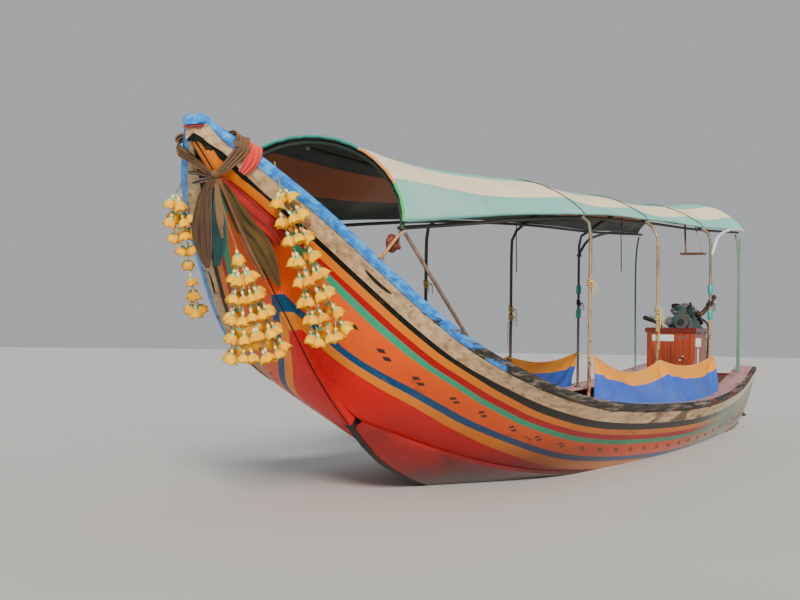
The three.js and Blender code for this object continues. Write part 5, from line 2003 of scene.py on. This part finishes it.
def build_engine_detail():
    """What is bolted to the engine, placed in the tail's own frame."""
    block = Shape(TAIL_MATRIX)
    for x in CYLINDERS:
        block.block((x - 0.036, -0.079, 0.3505), (x + 0.036, 0.079, 0.378), 0.008)
    block.block((-0.175, -0.05, 0.3785), (0.195, 0.05, 0.395), 0.008)
    block.piece("valve_covers", "head", body="tail", slot="engine_paint")
    ribs = Shape(TAIL_MATRIX)
    for k in range(11):
        x = -0.215 + 0.043 * k
        for y in (-1, 1):
            a, b = sorted((y * 0.1055, y * 0.1115))
            ribs.block((x - 0.004, a, 0.052), (x + 0.004, b, 0.232), 0.001, 1)
    ribs.piece("block_ribs", "engine", body="tail", slot="engine_paint")
    runners = Shape(TAIL_MATRIX)
    for x in CYLINDERS:
        line = curve_points([(x, -0.074, 0.305), (x, -0.115, 0.31), (x * 0.75, -0.145, 0.335)], 10)
        runners.tube(line, 0.016, 12)
    runners.tube([(-0.13, -0.152, 0.337), (0.0, -0.152, 0.337), (0.14, -0.152, 0.337)], 0.026, 14)
    runners.piece("intake_manifold", "head", body="tail", slot="engine_paint")
    filters = Shape(TAIL_MATRIX)
    filters.turned(AIR_FILTER, (0.02, -0.15, 0.366), (0, 0, 1), 28)
    filters.turned(OIL_FILTER, (-0.11, -0.106, 0.1), (0, -1, 0), 24)
    filters.piece("filters", "tie_black", body="tail", slot="engine_paint")
    stubs = Shape(TAIL_MATRIX)
    for k in range(3):
        x = -0.1 + 0.1 * k
        stubs.tube(
            curve_points([(x, 0.076, 0.285), (x + 0.01, 0.105, 0.285), (0.085, 0.118, 0.292)], 9), 0.015, 12
        )
    stubs.turned(
        [(0.0, 0.0), (0.04, 0.0), (0.04, 0.008), (0.0, 0.008)], (0.119, 0.112, 0.3045), (0.0, 1, 0.1), 20
    )
    stubs.piece("exhaust_stubs", "iron", body="tail", slot="drive_iron")
    belts = Shape(TAIL_MATRIX)
    for k in range(3):
        x = 0.268 + 0.013 * k
        ring = [(x, 0.0705 * math.cos(a), 0.14 + 0.0705 * math.sin(a)) for a in turns(32)]
        belts.tube(ring, 0.0042, 6, closed=True)
    belts.turned(PULLEY, (0.306, 0.0, 0.14), (1, 0, 0), 24)
    belts.piece("pulley_belts", "rubber", body="tail", slot="engine_paint")
    alternator = Shape(TAIL_MATRIX)
    alternator.turned(ALTERNATOR, (0.17, -0.152, 0.19), (1, 0, 0), 24)
    alternator.turned(SMALL_PULLEY, (0.222, -0.152, 0.19), (1, 0, 0), 20)
    alternator.block((0.14, -0.125, 0.17), (0.2, -0.106, 0.21), 0.004)
    alternator.piece("alternator", "head", body="tail", slot="engine_paint")
    bolts = []
    for k in range(8):
        x = -0.165 + 0.05 * k
        for y in (-0.062, 0.062):
            bolts.append(
                (TAIL_MATRIX @ Vector((x, y, 0.3505)), (math.sin(-TAIL_PITCH), 0, math.cos(TAIL_PITCH)))
            )
    turn = TAIL_MATRIX.to_3x3()
    for x in (-0.21, 0.23):
        for y in (-1, 1):
            for z in (0.07, 0.215):
                bolts.append((TAIL_MATRIX @ Vector((x, y * 0.112, z)), tuple(turn @ Vector((0, y, 0)))))
    spots = [(tuple(p), tuple(w)) for p, w in bolts]
    scatter("engine_bolts", spots, bolt_mesh(0.006, 0.006), "bright", body="tail")
    mounts = Shape(TAIL_MATRIX)
    for x in (-0.19, 0.2):
        for y in (-1, 1):
            a, b = sorted((y * 0.1065, y * 0.138))
            mounts.block((x - 0.028, a, 0.0345), (x + 0.028, b, 0.055), 0.004)
    mounts.piece("engine_mounts", "rubber", body="tail", slot="engine_paint")
    hoses = [
        [(0.2, 0.05, 0.352), (0.26, 0.06, 0.37), (0.295, 0.085, 0.3), (0.262, 0.095, 0.22)],
        [
            (-0.17, 0.06, 0.352), (-0.23, 0.085, 0.365), (-0.27, 0.128, 0.3), (-0.3, 0.133, 0.1),
            (-0.34, 0.131, 0.04)
        ],
    ]
    lines = [[tuple(TAIL_MATRIX @ p) for p in curve_points(line, 24)] for line in hoses]
    rope("engine_hoses", lines, 0.011, "rubber", body="tail", spacing=0.012, sides=12)
    stack = Shape(TAIL_MATRIX)
    stack.tube([(-0.139, 0.19, 0.585), (-0.142, 0.19, 0.604)], [0.028, 0.028], 20)
    stack.tube([(0.03, 0.1868, 0.435), (0.012, 0.1876, 0.455)], [0.029, 0.029], 20)
    stack.piece("exhaust_collars", "bright", body="tail", slot="drive_iron")


THROTTLE_CABLE = (
    (0.88, -0.148, -0.01), (0.66, -0.145, 0.045), (0.44, -0.115, 0.075), (0.3, -0.08, 0.13),
    (0.252, -0.06, 0.2),
)
COLLAR = ((0.0345, 0.0), (0.0395, 0.002), (0.0395, 0.026), (0.0345, 0.028))
COLLARS_X = (-0.46, -1.0, -1.55, -2.1, -2.7, -3.02)
SHAFT_Z = 0.062


def build_shaft_detail():
    """The tiller's grip, the throttle cable, the shaft's collars and the propeller's nut."""
    grip = Shape(TAIL_MATRIX)
    line = curve_points([(0.7, -0.17, 0.01), (0.83, -0.172, -0.025), (0.956, -0.17, -0.0588)], 16)
    radii = [0.0205 + 0.0022 * (k % 2) for k in range(16)]
    grip.tube(line, radii, 16)
    grip.piece("tiller_grip", "rubber", body="tail", slot="drive_iron")
    cable = curve_points(THROTTLE_CABLE, 30)
    rope(
        "throttle_cable", [[tuple(TAIL_MATRIX @ p) for p in cable]], 0.0035, "rubber", body="tail",
        spacing=0.01
    )
    bands = Shape(TAIL_MATRIX)
    for x in COLLARS_X:
        bands.turned(COLLAR, (x, 0, SHAFT_Z), (1, 0, 0), 24)
    bands.piece("shaft_collars", "iron", body="tail", slot="drive_iron")
    nose = Shape(TAIL_MATRIX)
    nose.turned(SHAFT_NOSE, (-3.2055, 0, SHAFT_Z), (-1, 0, 0), 24)
    nose.piece("propeller_nut", "bronze", body="propeller", slot="propeller_bronze")


# Stage

FLOATS_FROM = 2.5
FLOATS_TO = HULL_LENGTH - 0.015
FLOOR_REACH = 50.0
KEY_WAY = (-0.78, -0.5, -0.42)
LENS = 58.5
CAMERA_AT = (9.293, 3.619, 0.955)
CAMERA_RIGHT = (-0.4646, 0.8854, 0.0146)
CAMERA_UP = (0.028, -0.0018, 0.9996)


def build_stage():
    """The floor at the waterline, open inside the hull so that the boat is dry, and soft studio light."""
    settings = bpy.context.scene.boat_stage
    places = stops(FLOATS_FROM, FLOATS_TO, 0.1)
    edge = [Vector((x_at(aft), afloat_half(aft), 0.0)) for aft in places]
    edge += [Vector((p.x, -p.y, 0.0)) for p in edge[::-1]]
    middle = Vector(((edge[0].x + edge[-1 - len(places)].x) / 2, 0.0, 0.0))
    rim = [middle + (p - middle).normalized() * FLOOR_REACH for p in edge]
    count = len(edge)
    faces = [(i, count + i, count + (i + 1) % count, (i + 1) % count) for i in range(count)]
    mesh = mesh_of("floor", edge + rim, faces)
    floor = placed("floor", mesh)
    finish = Finish("pale_floor", 0.75)
    finish.colour(finish.mix(finish.noise(0.6, 2.0), "#C9C9C6", "#CECECB"))
    mesh.materials.append(finish.material)
    world = bpy.data.worlds.new("studio")
    bpy.context.scene.world = world
    world.use_nodes = True
    background = next(n for n in world.node_tree.nodes if n.type == "BACKGROUND")
    background.inputs["Color"].default_value = (0.86, 0.89, 0.93, 1)
    background.inputs["Strength"].default_value = settings.fill
    lamp = bpy.data.lights.new("key", "SUN")
    lamp.energy = settings.key
    lamp.angle = math.radians(14)
    lamp.color = (1.0, 0.95, 0.87)
    key = placed("key", lamp)
    key.rotation_euler = Vector(KEY_WAY).to_track_quat("-Z", "Y").to_euler()
    build_camera()


def build_camera():
    """The photograph's viewpoint, off the port bow."""
    camera_data = bpy.data.cameras.new("view")
    camera_data.lens = LENS
    camera_data.sensor_width = 36.0
    camera_data.sensor_fit = "HORIZONTAL"
    camera_data.clip_end = 200.0
    camera = placed("view", camera_data)
    right, up = Vector(CAMERA_RIGHT), Vector(CAMERA_UP)
    back = right.cross(up).normalized()
    turn = Matrix((right.normalized(), up.normalized(), back)).transposed()
    camera.matrix_world = Matrix.Translation(CAMERA_AT) @ turn.to_4x4()
    bpy.context.scene.camera = camera


# Add-on


class BoatGarlands(bpy.types.PropertyGroup):
    """Sizes of the flower garlands."""

    flower_size: FloatProperty(
        name="Flower size", description="Size of a flower head, 1 is 70 mm across", default=1.0, min=0.5,
        max=1.5
    )
    seed: IntProperty(name="Seed", description="Seed of the flowers' places and turns", default=4, min=0)


class BoatStage(bpy.types.PropertyGroup):
    """Light on the boat."""

    key: FloatProperty(name="Key light", description="Strength of the main light", default=5.0, min=0.0)
    fill: FloatProperty(
        name="Fill light", description="Strength of the light from all round", default=0.5, min=0.0
    )


class Group:
    """What the groups' operators share: they run their builders in turn."""

    builders = ()

    def execute(self, context):
        for build in self.builders:
            build()
        return {"FINISHED"}


class BOAT_OT_hull(Group, bpy.types.Operator):
    """Builds the painted sides, rails, decks and inner timbers"""

    bl_idname = "boat.hull"
    bl_label = "Hull"
    builders = (build_sides, build_decks, build_prow_cap, build_inside)


class BOAT_OT_canopy(Group, bpy.types.Operator):
    """Builds the canopy cloth, hoops, cords and ties"""

    bl_idname = "boat.canopy"
    bl_label = "Canopy"
    builders = (build_cover, build_hoops, build_ties, build_stay)


class BOAT_OT_curtains(Group, bpy.types.Operator):
    """Builds the splash curtains"""

    bl_idname = "boat.curtains"
    bl_label = "Splash curtains"
    builders = (build_curtains,)


class BOAT_OT_prow_cloth(Group, bpy.types.Operator):
    """Builds the cloth tied round the prow"""

    bl_idname = "boat.prow_cloth"
    bl_label = "Prow cloth"
    builders = (build_prow_cloth,)


class BOAT_OT_garlands(Group, bpy.types.Operator):
    """Builds the flower garlands"""

    bl_idname = "boat.garlands"
    bl_label = "Garlands"
    builders = (build_garlands,)


class BOAT_OT_driver_box(Group, bpy.types.Operator):
    """Builds the seat box and its fittings"""

    bl_idname = "boat.driver_box"
    bl_label = "Seat box"
    builders = (build_driver_box,)


class BOAT_OT_drive(Group, bpy.types.Operator):
    """Builds the engine's fittings, the tiller grip and the shaft's collars"""

    bl_idname = "boat.drive"
    bl_label = "Engine and tail"
    builders = (build_drive,)


class BOAT_OT_stage(Group, bpy.types.Operator):
    """Sets the floor, light and camera"""

    bl_idname = "boat.stage"
    bl_label = "Stage"
    builders = (build_stage,)


OPERATORS = (
    BOAT_OT_stage,
    BOAT_OT_hull,
    BOAT_OT_canopy,
    BOAT_OT_curtains,
    BOAT_OT_prow_cloth,
    BOAT_OT_garlands,
    BOAT_OT_driver_box,
    BOAT_OT_drive,
)


class BOAT_PT_panel(bpy.types.Panel):
    """Lists the boat's groups and their sizes"""

    bl_label = "Longtail Boat"
    bl_idname = "BOAT_PT_panel"
    bl_space_type = "VIEW_3D"
    bl_region_type = "UI"
    bl_category = "Longtail Boat"

    def draw(self, context):
        for operator in OPERATORS:
            self.layout.operator(operator.bl_idname)
        self.layout.prop(context.scene.boat_garlands, "flower_size")
        self.layout.prop(context.scene.boat_garlands, "seed")
        self.layout.prop(context.scene.boat_stage, "key")
        self.layout.prop(context.scene.boat_stage, "fill")


CLASSES = (BoatGarlands, BoatStage) + OPERATORS + (BOAT_PT_panel,)


def register():
    for made in CLASSES:
        bpy.utils.register_class(made)
    bpy.types.Scene.boat_garlands = PointerProperty(type=BoatGarlands)
    bpy.types.Scene.boat_stage = PointerProperty(type=BoatStage)


def unregister():
    del bpy.types.Scene.boat_stage
    del bpy.types.Scene.boat_garlands
    for made in reversed(CLASSES):
        bpy.utils.unregister_class(made)


def main():
    register()
    mix_finishes()
    TREES["scatter"] = scatter_tree()
    TREES["rope"] = rope_tree()
    for operator in OPERATORS:
        group, name = operator.bl_idname.split(".")
        getattr(getattr(bpy.ops, group), name)()


if __name__ == "__main__":
    main()
